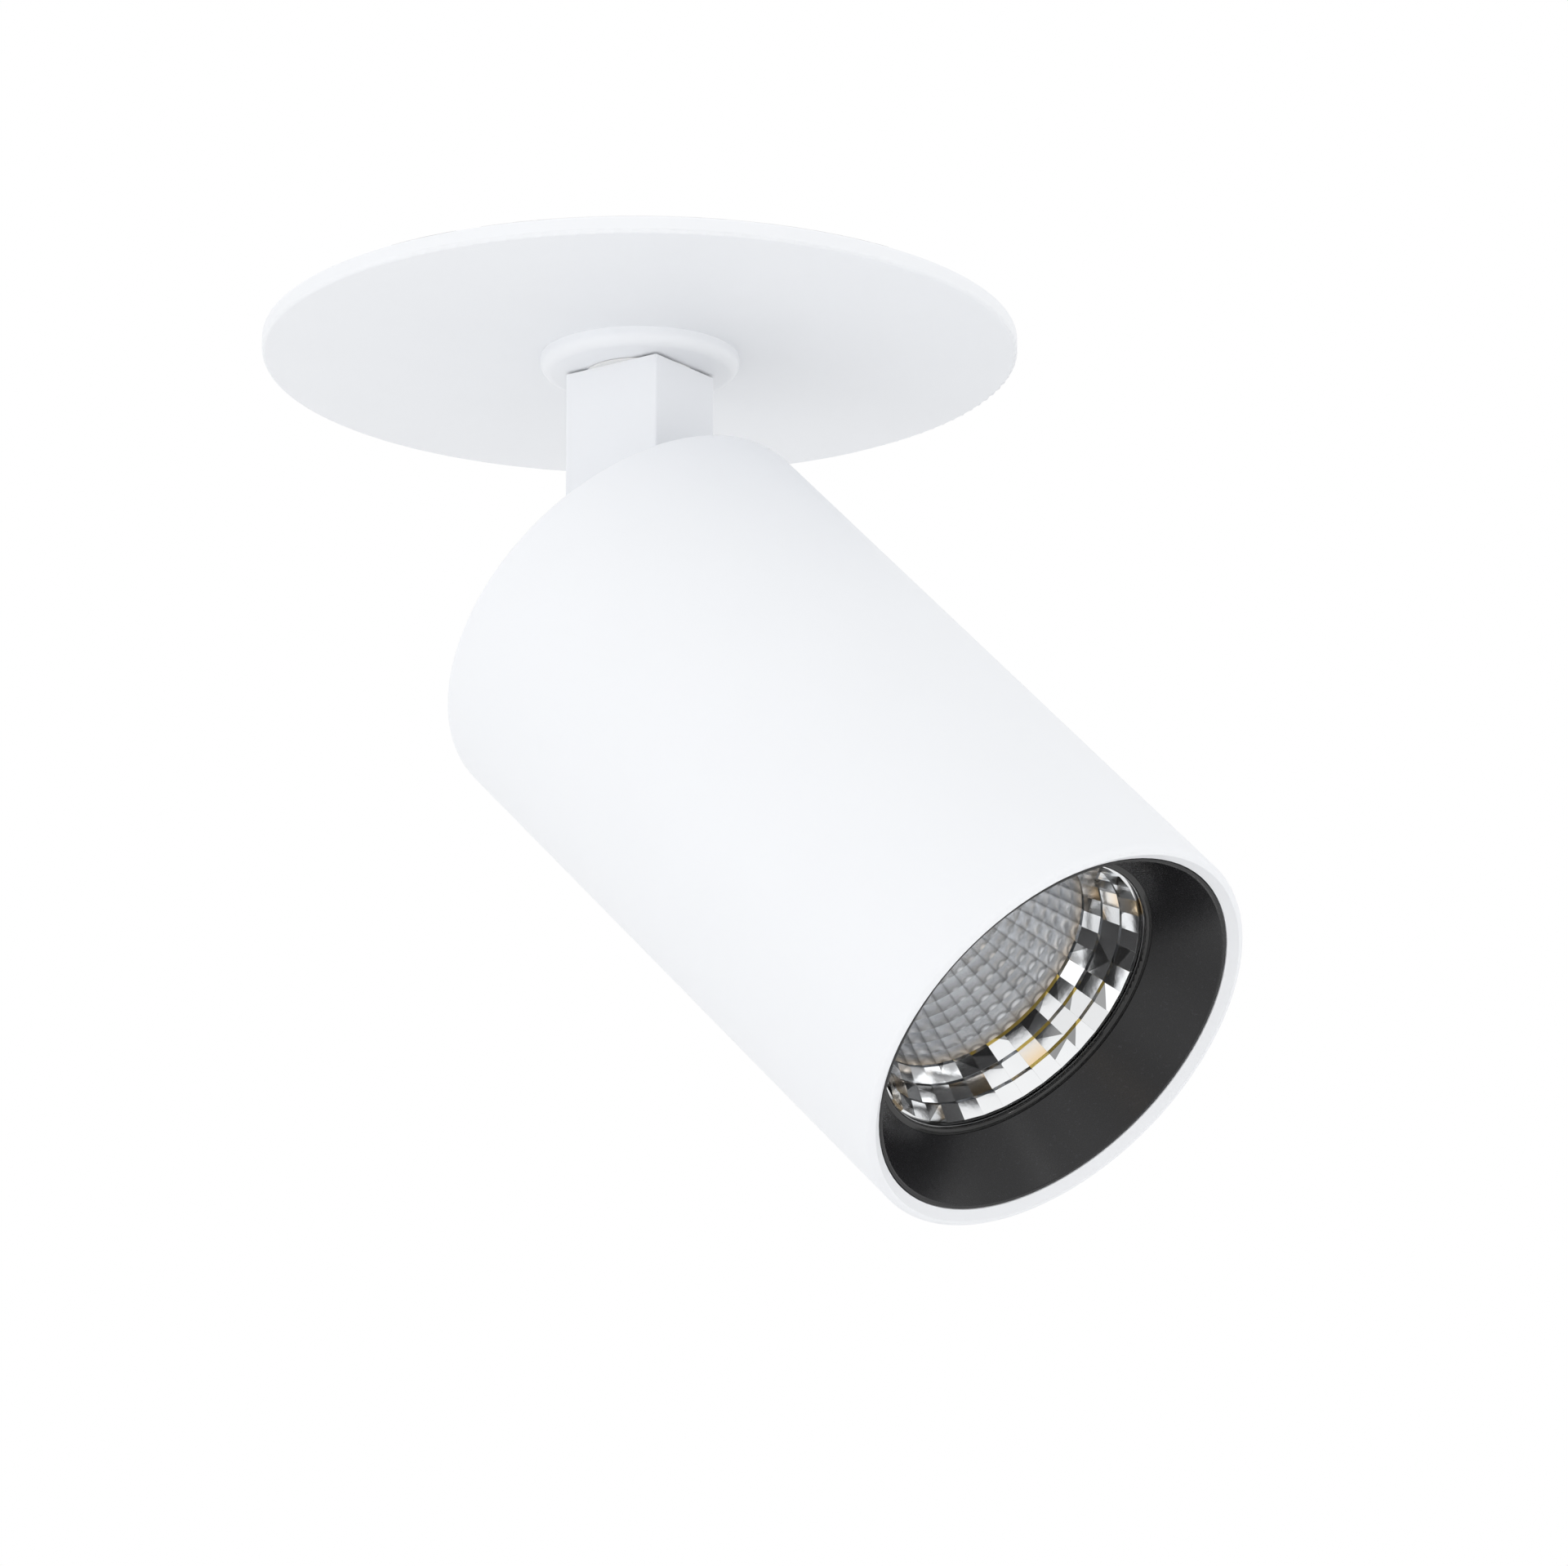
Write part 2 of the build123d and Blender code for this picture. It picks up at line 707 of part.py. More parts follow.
# Yoke: two eyes on a base plate that is screwed to the heat sink
eye_to_base = yoke_base_at - pivot_setback
with BuildPart() as pivot_yoke:
    cheek_plane = Plane(
        pivot + Vector(0, cheek_inner, 0), x_dir=head_up, z_dir=(0, 1, 0)
    )
    with BuildSketch(cheek_plane):
        with BuildLine():
            Polyline(
                (-yoke_eye_radius, 0),
                (yoke_eye_radius, 0),
                (yoke_foot_length / 2, eye_to_base),
                (-yoke_foot_length / 2, eye_to_base),
                close=True,
            )
        make_face()
        Circle(yoke_eye_radius)
        Circle(eye_bore_radius, mode=Mode.SUBTRACT)
    extrude(amount=yoke_cheek)
    mirror(about=Plane.XZ)
    with BuildSketch(head.offset(yoke_base_at)):
        with Locations((-axis_offset, 0)):
            RectangleRounded(yoke_base_length, 2 * cheek_outer, yoke_base_corner)
            Circle(lead_bore_radius, mode=Mode.SUBTRACT)
        with Locations(*yoke_screw_places):
            Circle(m3_radius + slip, mode=Mode.SUBTRACT)
    extrude(amount=yoke_base_thickness)

yoke_screws = pan_head_screws(head.offset(yoke_base_at), yoke_screw_places, yoke_screw_length)

# Head shell: a tube with a rounded front lip that is bevelled towards its bore
with BuildPart() as head_shell:
    with BuildSketch(head):
        Circle(head_radius)
        Circle(shell_bore_radius, mode=Mode.SUBTRACT)
    extrude(amount=head_length)
    front_edges = head_shell.edges().sort_by(head_axis)[-2:]
    rear_edges = head_shell.edges().sort_by(head_axis)[:2]
    fillet(front_edges.sort_by(SortBy.RADIUS)[-1], radius=lip_round)
    fillet(rear_edges.sort_by(SortBy.RADIUS)[-1], radius=rear_edge_round)
    with BuildSketch(-head.offset(head_length)):
        Circle(shell_bore_radius + lip_bevel_width)
    bevel_angle = degrees(atan2(lip_bevel_width, lip_bevel_depth))
    extrude(amount=lip_bevel_depth, taper=bevel_angle, mode=Mode.SUBTRACT)

# Rear cap, with the slot that the post sweeps through, and its fixings
slot_low = -axis_offset - post_depth / 2 - slot_gap
slot_high = (
    pivot_setback * tan(radians(tilt_limit))
    + post_depth / 2 / cos(radians(tilt_limit))
    + slot_gap
    - axis_offset
)
with BuildPart() as rear_cap:
    with BuildSketch(head):
        Circle(inner_radius)
        with Locations((slot_low, 0)):
            Rectangle(
                slot_high - slot_low,
                2 * (post_side + slot_gap),
                align=(Align.MIN, Align.CENTER),
                mode=Mode.SUBTRACT,
            )
        with Locations(*cap_screw_places):
            Circle(m3_radius + slip, mode=Mode.SUBTRACT)
    extrude(amount=cap_thickness)
    with BuildSketch(head):
        with Locations(*cap_screw_places):
            Circle(m3_radius + m3_sink_depth + 2 * slip)
    extrude(amount=m3_sink_depth + slip, taper=45, mode=Mode.SUBTRACT)

with BuildPart() as cap_screws:
    with BuildSketch(head):
        with Locations(*cap_screw_places):
            Circle(m3_radius + m3_sink_depth)
    extrude(amount=m3_sink_depth, taper=45)
    with BuildSketch(head):
        with Locations(*cap_screw_places):
            Circle(m3_radius)
    extrude(amount=cap_screw_length)

with BuildPart() as cap_standoffs:
    with BuildSketch(head.offset(cap_thickness + slip)):
        with Locations(*cap_screw_places):
            RegularPolygon(standoff_width / 2, 6, major_radius=False)
    extrude(amount=sink_rear_at - cap_thickness - 2 * slip)
    with BuildSketch(head.offset(sink_rear_at - slip)):
        with Locations(*cap_screw_places):
            Circle(m3_radius)
    extrude(amount=standoff_stud_length)
    with BuildSketch(head.offset(cap_thickness + slip)):
        with Locations(*cap_screw_places):
            Circle(m3_radius + slip)
    extrude(amount=cap_screw_length - cap_thickness + m3_radius, mode=Mode.SUBTRACT)

# Heat sink: a finned core between two discs, with a channel for the lead
with BuildPart() as heat_sink:
    with BuildSketch(head.offset(sink_rear_at)):
        Circle(sink_core_radius)
        with PolarLocations(0, sink_fins):
            Rectangle(inner_radius, sink_fin_thickness, align=(Align.MIN, Align.CENTER))
    extrude(amount=sink_front_at - sink_rear_at)
    with BuildSketch(head.offset(sink_rear_at)):
        Circle(inner_radius)
    extrude(amount=sink_disc)
    with BuildSketch(head.offset(sink_front_at)):
        Circle(inner_radius)
    extrude(amount=-sink_disc)
    with BuildSketch(head.offset(sink_rear_at)):
        with Locations((lead_bore_radius - axis_offset, 0)):
            Rectangle(
                lead_side - axis_offset + 2 * lead_bore_radius,
                2 * lead_bore_radius,
                align=(Align.MAX, Align.CENTER),
            )
    extrude(amount=sink_front_at - sink_rear_at, mode=Mode.SUBTRACT)
    with BuildSketch(head.offset(sink_rear_at)):
        with Locations(*yoke_screw_places, *cap_screw_places):
            Circle(m3_radius + slip)
    extrude(amount=yoke_screw_length - yoke_base_thickness + slip, mode=Mode.SUBTRACT)
    with BuildSketch(head.offset(sink_front_at)):
        with Locations(*holder_screw_places):
            Circle(m3_radius + slip)
    extrude(amount=holder_thickness - holder_screw_length - slip, mode=Mode.SUBTRACT)

# Lamp module: pad, board, light-emitting surface and the holder over them
with BuildPart() as thermal_pad:
    with BuildSketch(head.offset(sink_front_at)):
        Rectangle(board_width, board_width)
    extrude(amount=pad_thickness)

with BuildPart() as led_board:
    with BuildSketch(head.offset(sink_front_at + pad_thickness)):
        Rectangle(board_width, board_width)
    extrude(amount=board_thickness)

with BuildPart() as led_phosphor:
    with BuildSketch(head.offset(board_front_at)):
        Circle(phosphor_radius)
    extrude(amount=phosphor_thickness)

with BuildPart() as led_holder:
    with BuildSketch(head.offset(sink_front_at)):
        Circle(holder_radius)
        Circle(reflector_neck_radius + slip, mode=Mode.SUBTRACT)
        with Locations(*holder_screw_places):
            Circle(m3_radius + slip, mode=Mode.SUBTRACT)
        with Locations((-lead_side, 0)):
            Circle(lead_radius + slip, mode=Mode.SUBTRACT)
    extrude(amount=holder_thickness)
    with BuildSketch(head.offset(sink_front_at)):
        Rectangle(board_width + 2 * bore_gap, board_width + 2 * bore_gap)
    extrude(amount=pad_thickness + board_thickness + slip, mode=Mode.SUBTRACT)

holder_screws = pan_head_screws(
    -head.offset(reflector_rear_at), holder_screw_places, holder_screw_length
)

# Reflector: a bowl of flat facets in rows. Three tall rows make a flare at the mouth, and
# the rows behind them follow a parabola to the throat.
parabola_rise = (flare_end_radius**2 - reflector_throat_radius**2) / bowl_depth
flare_steps = [row / flare_rows for row in range(flare_rows)]
bowl_steps = [1 - row / bowl_rows for row in range(bowl_rows + 1)]
row_radii = [reflector_mouth_radius - flare_width * step for step in flare_steps] + [
    sqrt(reflector_throat_radius**2 + parabola_rise * bowl_depth * step) for step in bowl_steps
]
row_places = [reflector_front_at - flare_depth * step for step in flare_steps] + [
    reflector_rear_at + bowl_depth * step for step in bowl_steps
]
neck_end_at = reflector_rear_at - reflector_neck
flange_rear_at = reflector_front_at - reflector_flange_thickness
flange_root_radius = (
    reflector_mouth_radius
    - flare_width * reflector_flange_thickness / flare_depth
    + reflector_wall
)
with BuildPart() as reflector:
    with BuildSketch(head_section):
        with BuildLine():
            Polyline(
                (0, reflector_front_at),
                (reflector_flange_radius, reflector_front_at),
                (reflector_flange_radius, flange_rear_at),
                (flange_root_radius, flange_rear_at),
                *[(radius + reflector_wall, at) for radius, at in zip(row_radii, row_places)][1:],
                (reflector_neck_radius, neck_end_at),
                (0, neck_end_at),
                close=True,
            )
        make_face()
    revolve(axis=head_axis)
    with BuildSketch(head.offset(neck_end_at)):
        Circle(reflector_throat_radius)
    extrude(amount=reflector_neck, mode=Mode.SUBTRACT)
    for radius, at in zip(row_radii, row_places):
        with BuildSketch(head.offset(at)):
            RegularPolygon(radius, reflector_facets, rotation=reflector_turn)
    loft(ruled=True, mode=Mode.SUBTRACT)

# Retaining ring: its skirt centres it on the reflector's flange
ring_rear_at = reflector_front_at + slip
ring_seat_radius = reflector_flange_radius + slip
with BuildPart() as retaining_ring:
    with BuildSketch(head.offset(ring_rear_at)):
        Circle(ring_seat_radius + ring_skirt)
        Circle(ring_hole_radius, mode=Mode.SUBTRACT)
    extrude(amount=ring_thickness)
    round_edges = retaining_ring.edges().filter_by(GeomType.CIRCLE)
    inner_edges = round_edges.sort_by(SortBy.RADIUS)[:2]
    fillet(inner_edges, radius=ring_bead_round)
    with BuildSketch(head.offset(ring_rear_at)):
        Circle(ring_seat_radius + ring_skirt)
        Circle(ring_seat_radius, mode=Mode.SUBTRACT)
    extrude(amount=-reflector_flange_thickness)

# Baffle: a cone that opens towards the front, with a rim in the shell's bore
with BuildPart() as baffle:
    with BuildSketch(head_section):
        with BuildLine():
            Polyline(
                (baffle_throat_radius, baffle_rear_at),
                (baffle_throat_radius + baffle_wall, baffle_rear_at),
                (inner_radius, baffle_front_at - baffle_rim_height),
                (inner_radius, baffle_front_at),
                (baffle_mouth_radius, baffle_front_at),
                close=True,
            )
        make_face()
    revolve(axis=head_axis)
    mouth_edge = baffle.edges().sort_by(head_axis)[-2:].sort_by(SortBy.RADIUS)[0]
    fillet(mouth_edge, radius=baffle_lip / 2)

# Inner lead in three stretches, which part at the swivel and at the pivot
arch_radius = -lead_seat_x / 2
arch_height = block_top + lead_rise
with BuildPart() as lead_terminal:
    with BuildLine() as terminal_route:
        Line((lead_seat_x, 0, block_top - lead_seat_depth), (lead_seat_x, 0, arch_height))
        ThreePointArc(
            (lead_seat_x, 0, arch_height),
            (lead_seat_x / 2, 0, arch_height + arch_radius),
            (0, 0, arch_height),
        )
        Line((0, 0, arch_height), (0, 0, tube_top + lead_swivel_gap))
    with BuildSketch(Plane.XY.offset(block_top - lead_seat_depth)):
        with Locations((lead_seat_x, 0)):
            Circle(lead_radius)
    sweep(path=terminal_route.wire())

with BuildPart() as lead_post:
    with BuildSketch(Plane.XY.offset(lead_pivot_gap - pivot_drop)):
        Circle(lead_radius)
    extrude(amount=tube_top + pivot_drop - lead_pivot_gap)

# The head's stretch bends off the pivot's line to the board's side: points across the
# head and along it, whose bends are placed by shares of the way across and of the heat sink
lead_points = [
    (-axis_offset, pivot_setback + lead_pivot_gap),
    *[
        (
            -axis_offset - across * (lead_side - axis_offset),
            sink_rear_at + share * (sink_front_at - sink_rear_at),
        )
        for across, share in lead_bend_places
    ],
    (-lead_side, sink_front_at + lead_end_gap),
]
lead_runs = [
    Vector(*after) - Vector(*before) for before, after in zip(lead_points, lead_points[1:])
]
lead_radii = [
    lead_bend_share
    * min(run.length, following.length)
    / tan(radians(run.get_angle(following)) / 2)
    for run, following in zip(lead_runs, lead_runs[1:])
]
with BuildPart() as lead_head:
    with BuildLine(head_section) as head_route:
        FilletPolyline(*lead_points, radius=lead_radii)
    with BuildSketch(head.offset(lead_points[0][1])):
        with Locations((-axis_offset, 0)):
            Circle(lead_radius)
    sweep(path=head_route.wire())

lead_area = pi * lead_radius**2
print(f"lead bends: {arch_radius:.1f} and {', '.join(f'{bend:.1f}' for bend in lead_radii)} mm")
for lead, route in ((lead_terminal, terminal_route), (lead_head, head_route)):
    ratio = lead.part.volume / (lead_area * route.wire().length)
    print(f"lead volume over section times length: {ratio:.4f}")

pieces = {
    "ceiling_plate": ceiling_plate,
    "plate_studs": plate_studs,
    "plate_gasket": plate_gasket,
    "stop_pin": stop_pin,
    "mounting_frame": mounting_frame,
    "frame_nuts": frame_nuts,
    "spring_pins": spring_pins,
    "pin_rings": pin_rings,
    "terminal_block": terminal_block,
    "clamp_screws": clamp_screws,
    "block_screw": block_screw,
    "swivel_collar": swivel_collar,
    "swivel_bush": swivel_bush,
    "swivel_tube": swivel_tube,
    "swivel_washer": swivel_washer,
    "stop_washer": stop_washer,
    "swivel_spring": swivel_spring,
    "swivel_nut": swivel_nut,
    "post": post,
    "pivot_screws": pivot_screws,
    "friction_washers": friction_washers,
    "pivot_springs": pivot_springs,
    "pivot_yoke": pivot_yoke,
    "yoke_screws": yoke_screws,
    "head_shell": head_shell,
    "rear_cap": rear_cap,
    "cap_screws": cap_screws,
    "cap_standoffs": cap_standoffs,
    "heat_sink": heat_sink,
    "thermal_pad": thermal_pad,
    "led_board": led_board,
    "led_phosphor": led_phosphor,
    "led_holder": led_holder,
    "holder_screws": holder_screws,
    "reflector": reflector,
    "retaining_ring": retaining_ring,
    "baffle": baffle,
    "lead_terminal": lead_terminal,
    "lead_post": lead_post,
    "lead_head": lead_head,
    **clips,
}
os.makedirs("parts", exist_ok=True)
for name, piece in pieces.items():
    piece.part.label = name
    export_step(piece.part, f"parts/{name}.step")
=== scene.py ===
import json
from math import cos, pi, radians, sin, sqrt

import bmesh
import bpy
from mathutils import Matrix, Vector


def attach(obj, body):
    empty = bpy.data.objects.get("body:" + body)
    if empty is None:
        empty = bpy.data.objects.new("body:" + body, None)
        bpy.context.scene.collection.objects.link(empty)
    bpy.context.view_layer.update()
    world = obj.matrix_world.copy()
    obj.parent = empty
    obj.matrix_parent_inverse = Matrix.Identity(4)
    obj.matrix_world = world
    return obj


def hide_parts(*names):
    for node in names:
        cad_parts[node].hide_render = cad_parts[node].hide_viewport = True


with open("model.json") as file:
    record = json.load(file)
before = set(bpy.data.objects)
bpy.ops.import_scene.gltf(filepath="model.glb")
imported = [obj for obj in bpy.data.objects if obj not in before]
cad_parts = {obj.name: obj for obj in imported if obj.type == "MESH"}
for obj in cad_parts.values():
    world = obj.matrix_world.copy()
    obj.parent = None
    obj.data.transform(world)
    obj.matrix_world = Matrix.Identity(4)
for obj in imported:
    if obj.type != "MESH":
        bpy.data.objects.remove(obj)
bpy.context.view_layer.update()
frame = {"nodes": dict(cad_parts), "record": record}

bl_info = {
    "name": "Recessed ceiling spotlight",
    "version": (1, 0, 0),
    "blender": (4, 5, 0),
    "location": "View3D > Sidebar > Spotlight",
    "description": "Dresses the spotlight's solids and sets up its studio",
    "category": "Object",
}

MM = 0.001

# The head's own frame, as in the part's source: z runs from the rear face towards the
# front, and x points to the side that turns up as the head tilts.
HEAD_TILT = radians(45)
PIVOT_DROP = 44.6 * MM
PIVOT_SETBACK = 6.5 * MM
AXIS_OFFSET = 5.0 * MM
FORWARD = Vector((sin(HEAD_TILT), 0, -cos(HEAD_TILT)))
UPWARD = Vector((cos(HEAD_TILT), 0, sin(HEAD_TILT)))
REAR_CENTRE = Vector((0, 0, -PIVOT_DROP)) - FORWARD * PIVOT_SETBACK + UPWARD * AXIS_OFFSET
HEAD = Matrix.Translation(REAR_CENTRE) @ Matrix(
    (UPWARD, FORWARD.cross(UPWARD), FORWARD)
).transposed().to_4x4()

# Threads: depth as a share of the pitch, and rows of vertices over one pitch
THREAD_DEPTH = 0.6
THREAD_STEPS = 6
TUBE_PITCH = 0.75 * MM
GRUB_PITCH = 0.5 * MM
TUBE_FLAT_START = 1.0 * MM
TUBE_FLAT_DEPTH = 0.8 * MM
FASTENER_CREASE = radians(30)

# Rows in the flare of a mirror that has no bowl, for the plain solid without a facet map
ALL_FLARE = 100
# Rise of the bowl's bore from the neck's last ring to the throat
THROAT_STEP = 0.05 * MM
FLANGE_THICKNESS = 1.0 * MM

# The camera looks along a line that passes the origin to the right and below
CAMERA_RIGHT = 18.04 * MM
CAMERA_DOWN = 55.45 * MM
CEILING_HOLE = 47.6 * MM
FLOOR_HEIGHT = -0.75
STAGE_SEGMENTS = 96


class Graph:
    """Adds nodes to a tree, for shaders and for geometry alike."""

    def __init__(self, tree):
        self.tree = tree

    def add(self, kind, inputs=None, output=0, stops=None, **settings):
        node = self.tree.nodes.new(kind)
        for name, value in settings.items():
            setattr(node, name, value)
        if stops:
            ramp = node.color_ramp
            while len(ramp.elements) < len(stops):
                ramp.elements.new(1.0)
            for element, (position, colour) in zip(ramp.elements, stops):
                element.position = position
                element.color = colour
        for key, value in (inputs or {}).items():
            self.connect(value, node.inputs[key])
        return Field(self, node.outputs[output]) if node.outputs else None

    def connect(self, value, socket):
        if isinstance(value, Field):
            self.tree.links.new(value.socket, socket)
        else:
            socket.default_value = value


class Field:
    """A value in a node tree. Sums and products with it add Math nodes."""

    def __init__(self, graph, socket):
        self.graph = graph
        self.socket = socket

    def output(self, name):
        return Field(self.graph, self.socket.node.outputs[name])

    def math(self, operation, *values):
        inputs = dict(enumerate(values))
        return self.graph.add("ShaderNodeMath", inputs, operation=operation)

    def __add__(self, other):
        return self.math("ADD", self, other)

    def __radd__(self, other):
        return self.math("ADD", other, self)

    def __sub__(self, other):
        return self.math("SUBTRACT", self, other)

    def __rsub__(self, other):
        return self.math("SUBTRACT", other, self)

    def __mul__(self, other):
        return self.math("MULTIPLY", self, other)

    def __rmul__(self, other):
        return self.math("MULTIPLY", other, self)

    def __truediv__(self, other):
        return self.math("DIVIDE", self, other)

    def __rtruediv__(self, other):
        return self.math("DIVIDE", other, self)

    def __pow__(self, other):
        return self.math("POWER", self, other)


def fresh_graph(owner):
    """The emptied node tree of a material or a world."""
    owner.use_nodes = True
    owner.node_tree.nodes.clear()
    return Graph(owner.node_tree)


class Finish:
    """A material with one Principled shader, and the patterns that drive it."""

    def __init__(self, name, **constants):
        self.material = bpy.data.materials.new(name)
        self.graph = fresh_graph(self.material)
        self.shader = self.graph.add("ShaderNodeBsdfPrincipled")
        self.graph.add("ShaderNodeOutputMaterial", {"Surface": self.shader})
        self.place = self.graph.add("ShaderNodeTexCoord", output="Object")
        for key, value in constants.items():
            self.set(key.replace("_", " "), value)

    def set(self, socket, value):
        self.graph.connect(value, self.shader.socket.node.inputs[socket])

    def noise(self, size, detail=2.0, roughness=0.5, place=None):
        """Noise from 0 to 1 whose grains are about one size across, in metres."""
        return self.graph.add(
            "ShaderNodeTexNoise",
            {
                "Vector": place or self.place,
                "Scale": 1 / size,
                "Detail": detail,
                "Roughness": roughness,
            },
        )

    def stretched(self, scale):
        """Object coordinates scaled along each axis, for grain that runs one way."""
        return self.graph.add("ShaderNodeMapping", {"Vector": self.place, "Scale": scale})

    def mix(self, factor, first, second):
        """A colour between two others."""
        return self.graph.add(
            "ShaderNodeMix", {0: factor, 6: first, 7: second}, output=2, data_type="RGBA"
        )

    def ramp(self, factor, stops):
        """A colour ramp with these positions and colours."""
        return self.graph.add("ShaderNodeValToRGB", {"Fac": factor}, stops=stops)

    def bump(self, height, distance, strength=1.0):
        self.set(
            "Normal",
            self.graph.add(
                "ShaderNodeBump",
                {"Height": height, "Distance": distance, "Strength": strength},
            ),
        )


def grey(level, tint=(0, 0, 0)):
    return (level + tint[0], level + tint[1], level + tint[2], 1)


def powder_coat(colour):
    """White satin powder coat: an even skin with a very fine orange peel."""
    coat = Finish("white powder coat", IOR=1.45)
    cloud = coat.noise(12 * MM, detail=3)
    coat.set("Base Color", coat.mix(cloud, colour, [0.985 * part for part in colour[:3]] + [1]))
    coat.set("Roughness", 0.46 + 0.08 * coat.noise(1.5 * MM))
    coat.bump(coat.noise(0.45 * MM, detail=3), 0.01 * MM, 0.35)
    return coat.material


def moulded_black(colour):
    """Matt black moulded plastic with a spark-eroded speckle."""
    plastic = Finish("matt black plastic", IOR=1.46)
    grain = plastic.noise(0.22 * MM, detail=4, roughness=0.7)
    dust = plastic.ramp(
        plastic.noise(0.35 * MM, detail=2), [(0.62, (0, 0, 0, 1)), (0.72, (1, 1, 1, 1))]
    )
    lighter = [4 * part for part in colour[:3]] + [1]
    plastic.set("Base Color", plastic.mix(dust, colour, lighter))
    plastic.set("Roughness", 0.2 + 0.12 * grain)
    plastic.bump(grain, 0.02 * MM, 0.5)
    return plastic.material


def gloss_black():
    """Polished black plastic of the retaining ring."""
    plastic = Finish("gloss black plastic", IOR=1.5)
    plastic.set("Base Color", plastic.mix(plastic.noise(3 * MM), grey(0.008), grey(0.014)))
    plastic.set("Roughness", 0.07 + 0.06 * plastic.noise(2 * MM))
    plastic.bump(plastic.noise(0.8 * MM), 0.01 * MM, 0.2)
    return plastic.material


def mirror_aluminium(colour, facets, flare_rows):
    """Metallised reflector whose colour holds painted reflections: in the flare, random facets
    painted dark and painted amber glints; on the bowl's pillows, a painted reflection lighter at
    each facet's deeper end and on the far side, with painted shade at the seams.

    The facet map counts columns across and rows down, so its fractions run over one facet.
    """
    # Dark and bright ends of the bowl's painted reflection
    shade = (0.04, 0.041, 0.042, 1)
    sheen = (0.92, 0.94, 0.97, 1)
    # Painted reflection of the lamp's phosphor
    painted_lamp_reflection = (0.45, 0.36, 0.25, 1)
    # Painted dark reflection on random flare facets
    painted_dark_reflection = (0.16, 0.16, 0.16, 1)
    # Painted amber glint
    painted_amber_glint = (0.85, 0.66, 0.42, 1)
    # Azimuth of the bowl's side that is painted lighter
    far_angle = radians(304)
    mirror = Finish("metallised reflector", Metallic=1.0)
    graph = mirror.graph
    spot = graph.add("ShaderNodeUVMap", uv_map="facet")
    spot = graph.add("ShaderNodeSeparateXYZ", {0: spot})
    rows_down = spot.output("Y")
    down_facet = rows_down.math("FRACT", rows_down)
    column = spot.math("FLOOR", spot)
    row = rows_down.math("FLOOR", rows_down)
    number = graph.add("ShaderNodeCombineXYZ", {"X": column, "Y": row})
    facet_noise = graph.add(
        "ShaderNodeTexWhiteNoise", {"Vector": number}, noise_dimensions="2D", output="Color"
    )
    # One random number per facet: its red picks painted reflections, its green and blue tilt the
    # facets' bumps
    facet_pick = graph.add("ShaderNodeSeparateColor", {"Color": facet_noise})
    own_lean = facet_pick.output("Green")
    own_edge = facet_pick.output("Blue")
    # Noise for the mirror's haze in roughness and tone, and for patches of the bowl's painted
    # reflection
    haze_and_painted_reflection = mirror.noise(4 * MM, detail=3)
    in_bowl = rows_down.math("GREATER_THAN", rows_down, flare_rows)
    first_row = in_bowl * rows_down.math("LESS_THAN", rows_down, flare_rows + 1.0)
    across_facet = 2 * spot.math("FRACT", spot) - 1
    # Painted shade along the seams between the bowl's facets
    painted_seam_shade = across_facet.math("ABSOLUTE", across_facet) ** 6
    # Painted light, stronger towards the far side of the bowl
    around = 2 * pi / facets * spot - far_angle
    painted_far_light = around.math("COSINE", around)
    # Painted reflection level of the bowl's pillows, lighter at each facet's deeper end and on the
    # far side
    level = 0.34 + 0.66 * down_facet ** 1.5 + 0.14 * facet_pick + 0.06 * haze_and_painted_reflection + 0.14 * painted_far_light
    level = level * (1 - 0.5 * painted_seam_shade)
    painted_bowl_reflection = mirror.mix(level, shade, sheen)
    # The first bowl row gets a painted brownish reflection of the lamp, fading towards its deeper
    # end
    painted_bowl_reflection = mirror.mix(first_row * (0.6 - 0.5 * down_facet), painted_bowl_reflection, painted_lamp_reflection)
    # Random flare facets painted dark over part of their face, as reflections of dark surroundings
    slanted = down_facet + (own_lean - 0.5) * across_facet
    painted_dark_facets = slanted.math("GREATER_THAN", slanted, 0.4 + 0.9 * own_edge)
    painted_dark_facets = painted_dark_facets * facet_pick.math("GREATER_THAN", facet_pick, 0.2) * 0.8
    # Random flare facets painted amber as glints of the lamp, fading towards their deeper end
    warm = facet_pick.math("LESS_THAN", facet_pick, 0.12) * (1 - down_facet)
    bright = mirror.mix(haze_and_painted_reflection, colour, [0.94 * part for part in colour[:3]] + [1])
    bright = mirror.mix(painted_dark_facets, bright, painted_dark_reflection)
    bright = mirror.mix(warm, bright, painted_amber_glint)
    # The bowl's colour is its painted reflection; the flare's is its metal with painted dark
    # facets and painted glints
    mirror.set("Base Color", mirror.mix(in_bowl, bright, painted_bowl_reflection))
    mirror.set("Roughness", 0.05 + 0.05 * haze_and_painted_reflection + 0.16 * in_bowl)
    tilt = (own_lean - 0.5) * across_facet + (own_edge - 0.5) * down_facet
    mirror.bump(tilt * (1 - in_bowl) + 0.01 * mirror.noise(0.9 * MM, detail=1), 0.3 * MM)
    return mirror.material


def zinc_plate():
    """Bright zinc plating with its faint spangle and blue passivation."""
    zinc = Finish("zinc plated steel", Metallic=1.0)
    spangle = zinc.graph.add(
        "ShaderNodeTexVoronoi", {"Vector": zinc.place, "Scale": 1 / (1.6 * MM)}, output="Color"
    )
    level = zinc.graph.add("ShaderNodeRGBToBW", {"Color": spangle})
    zinc.set("Base Color", zinc.mix(level, grey(0.62, (0, 0.005, 0.02)), grey(0.74)))
    zinc.set("Roughness", 0.26 + 0.14 * level + 0.08 * zinc.noise(0.6 * MM))
    zinc.bump(zinc.noise(0.5 * MM, detail=3), 0.01 * MM, 0.25)
    return zinc.material


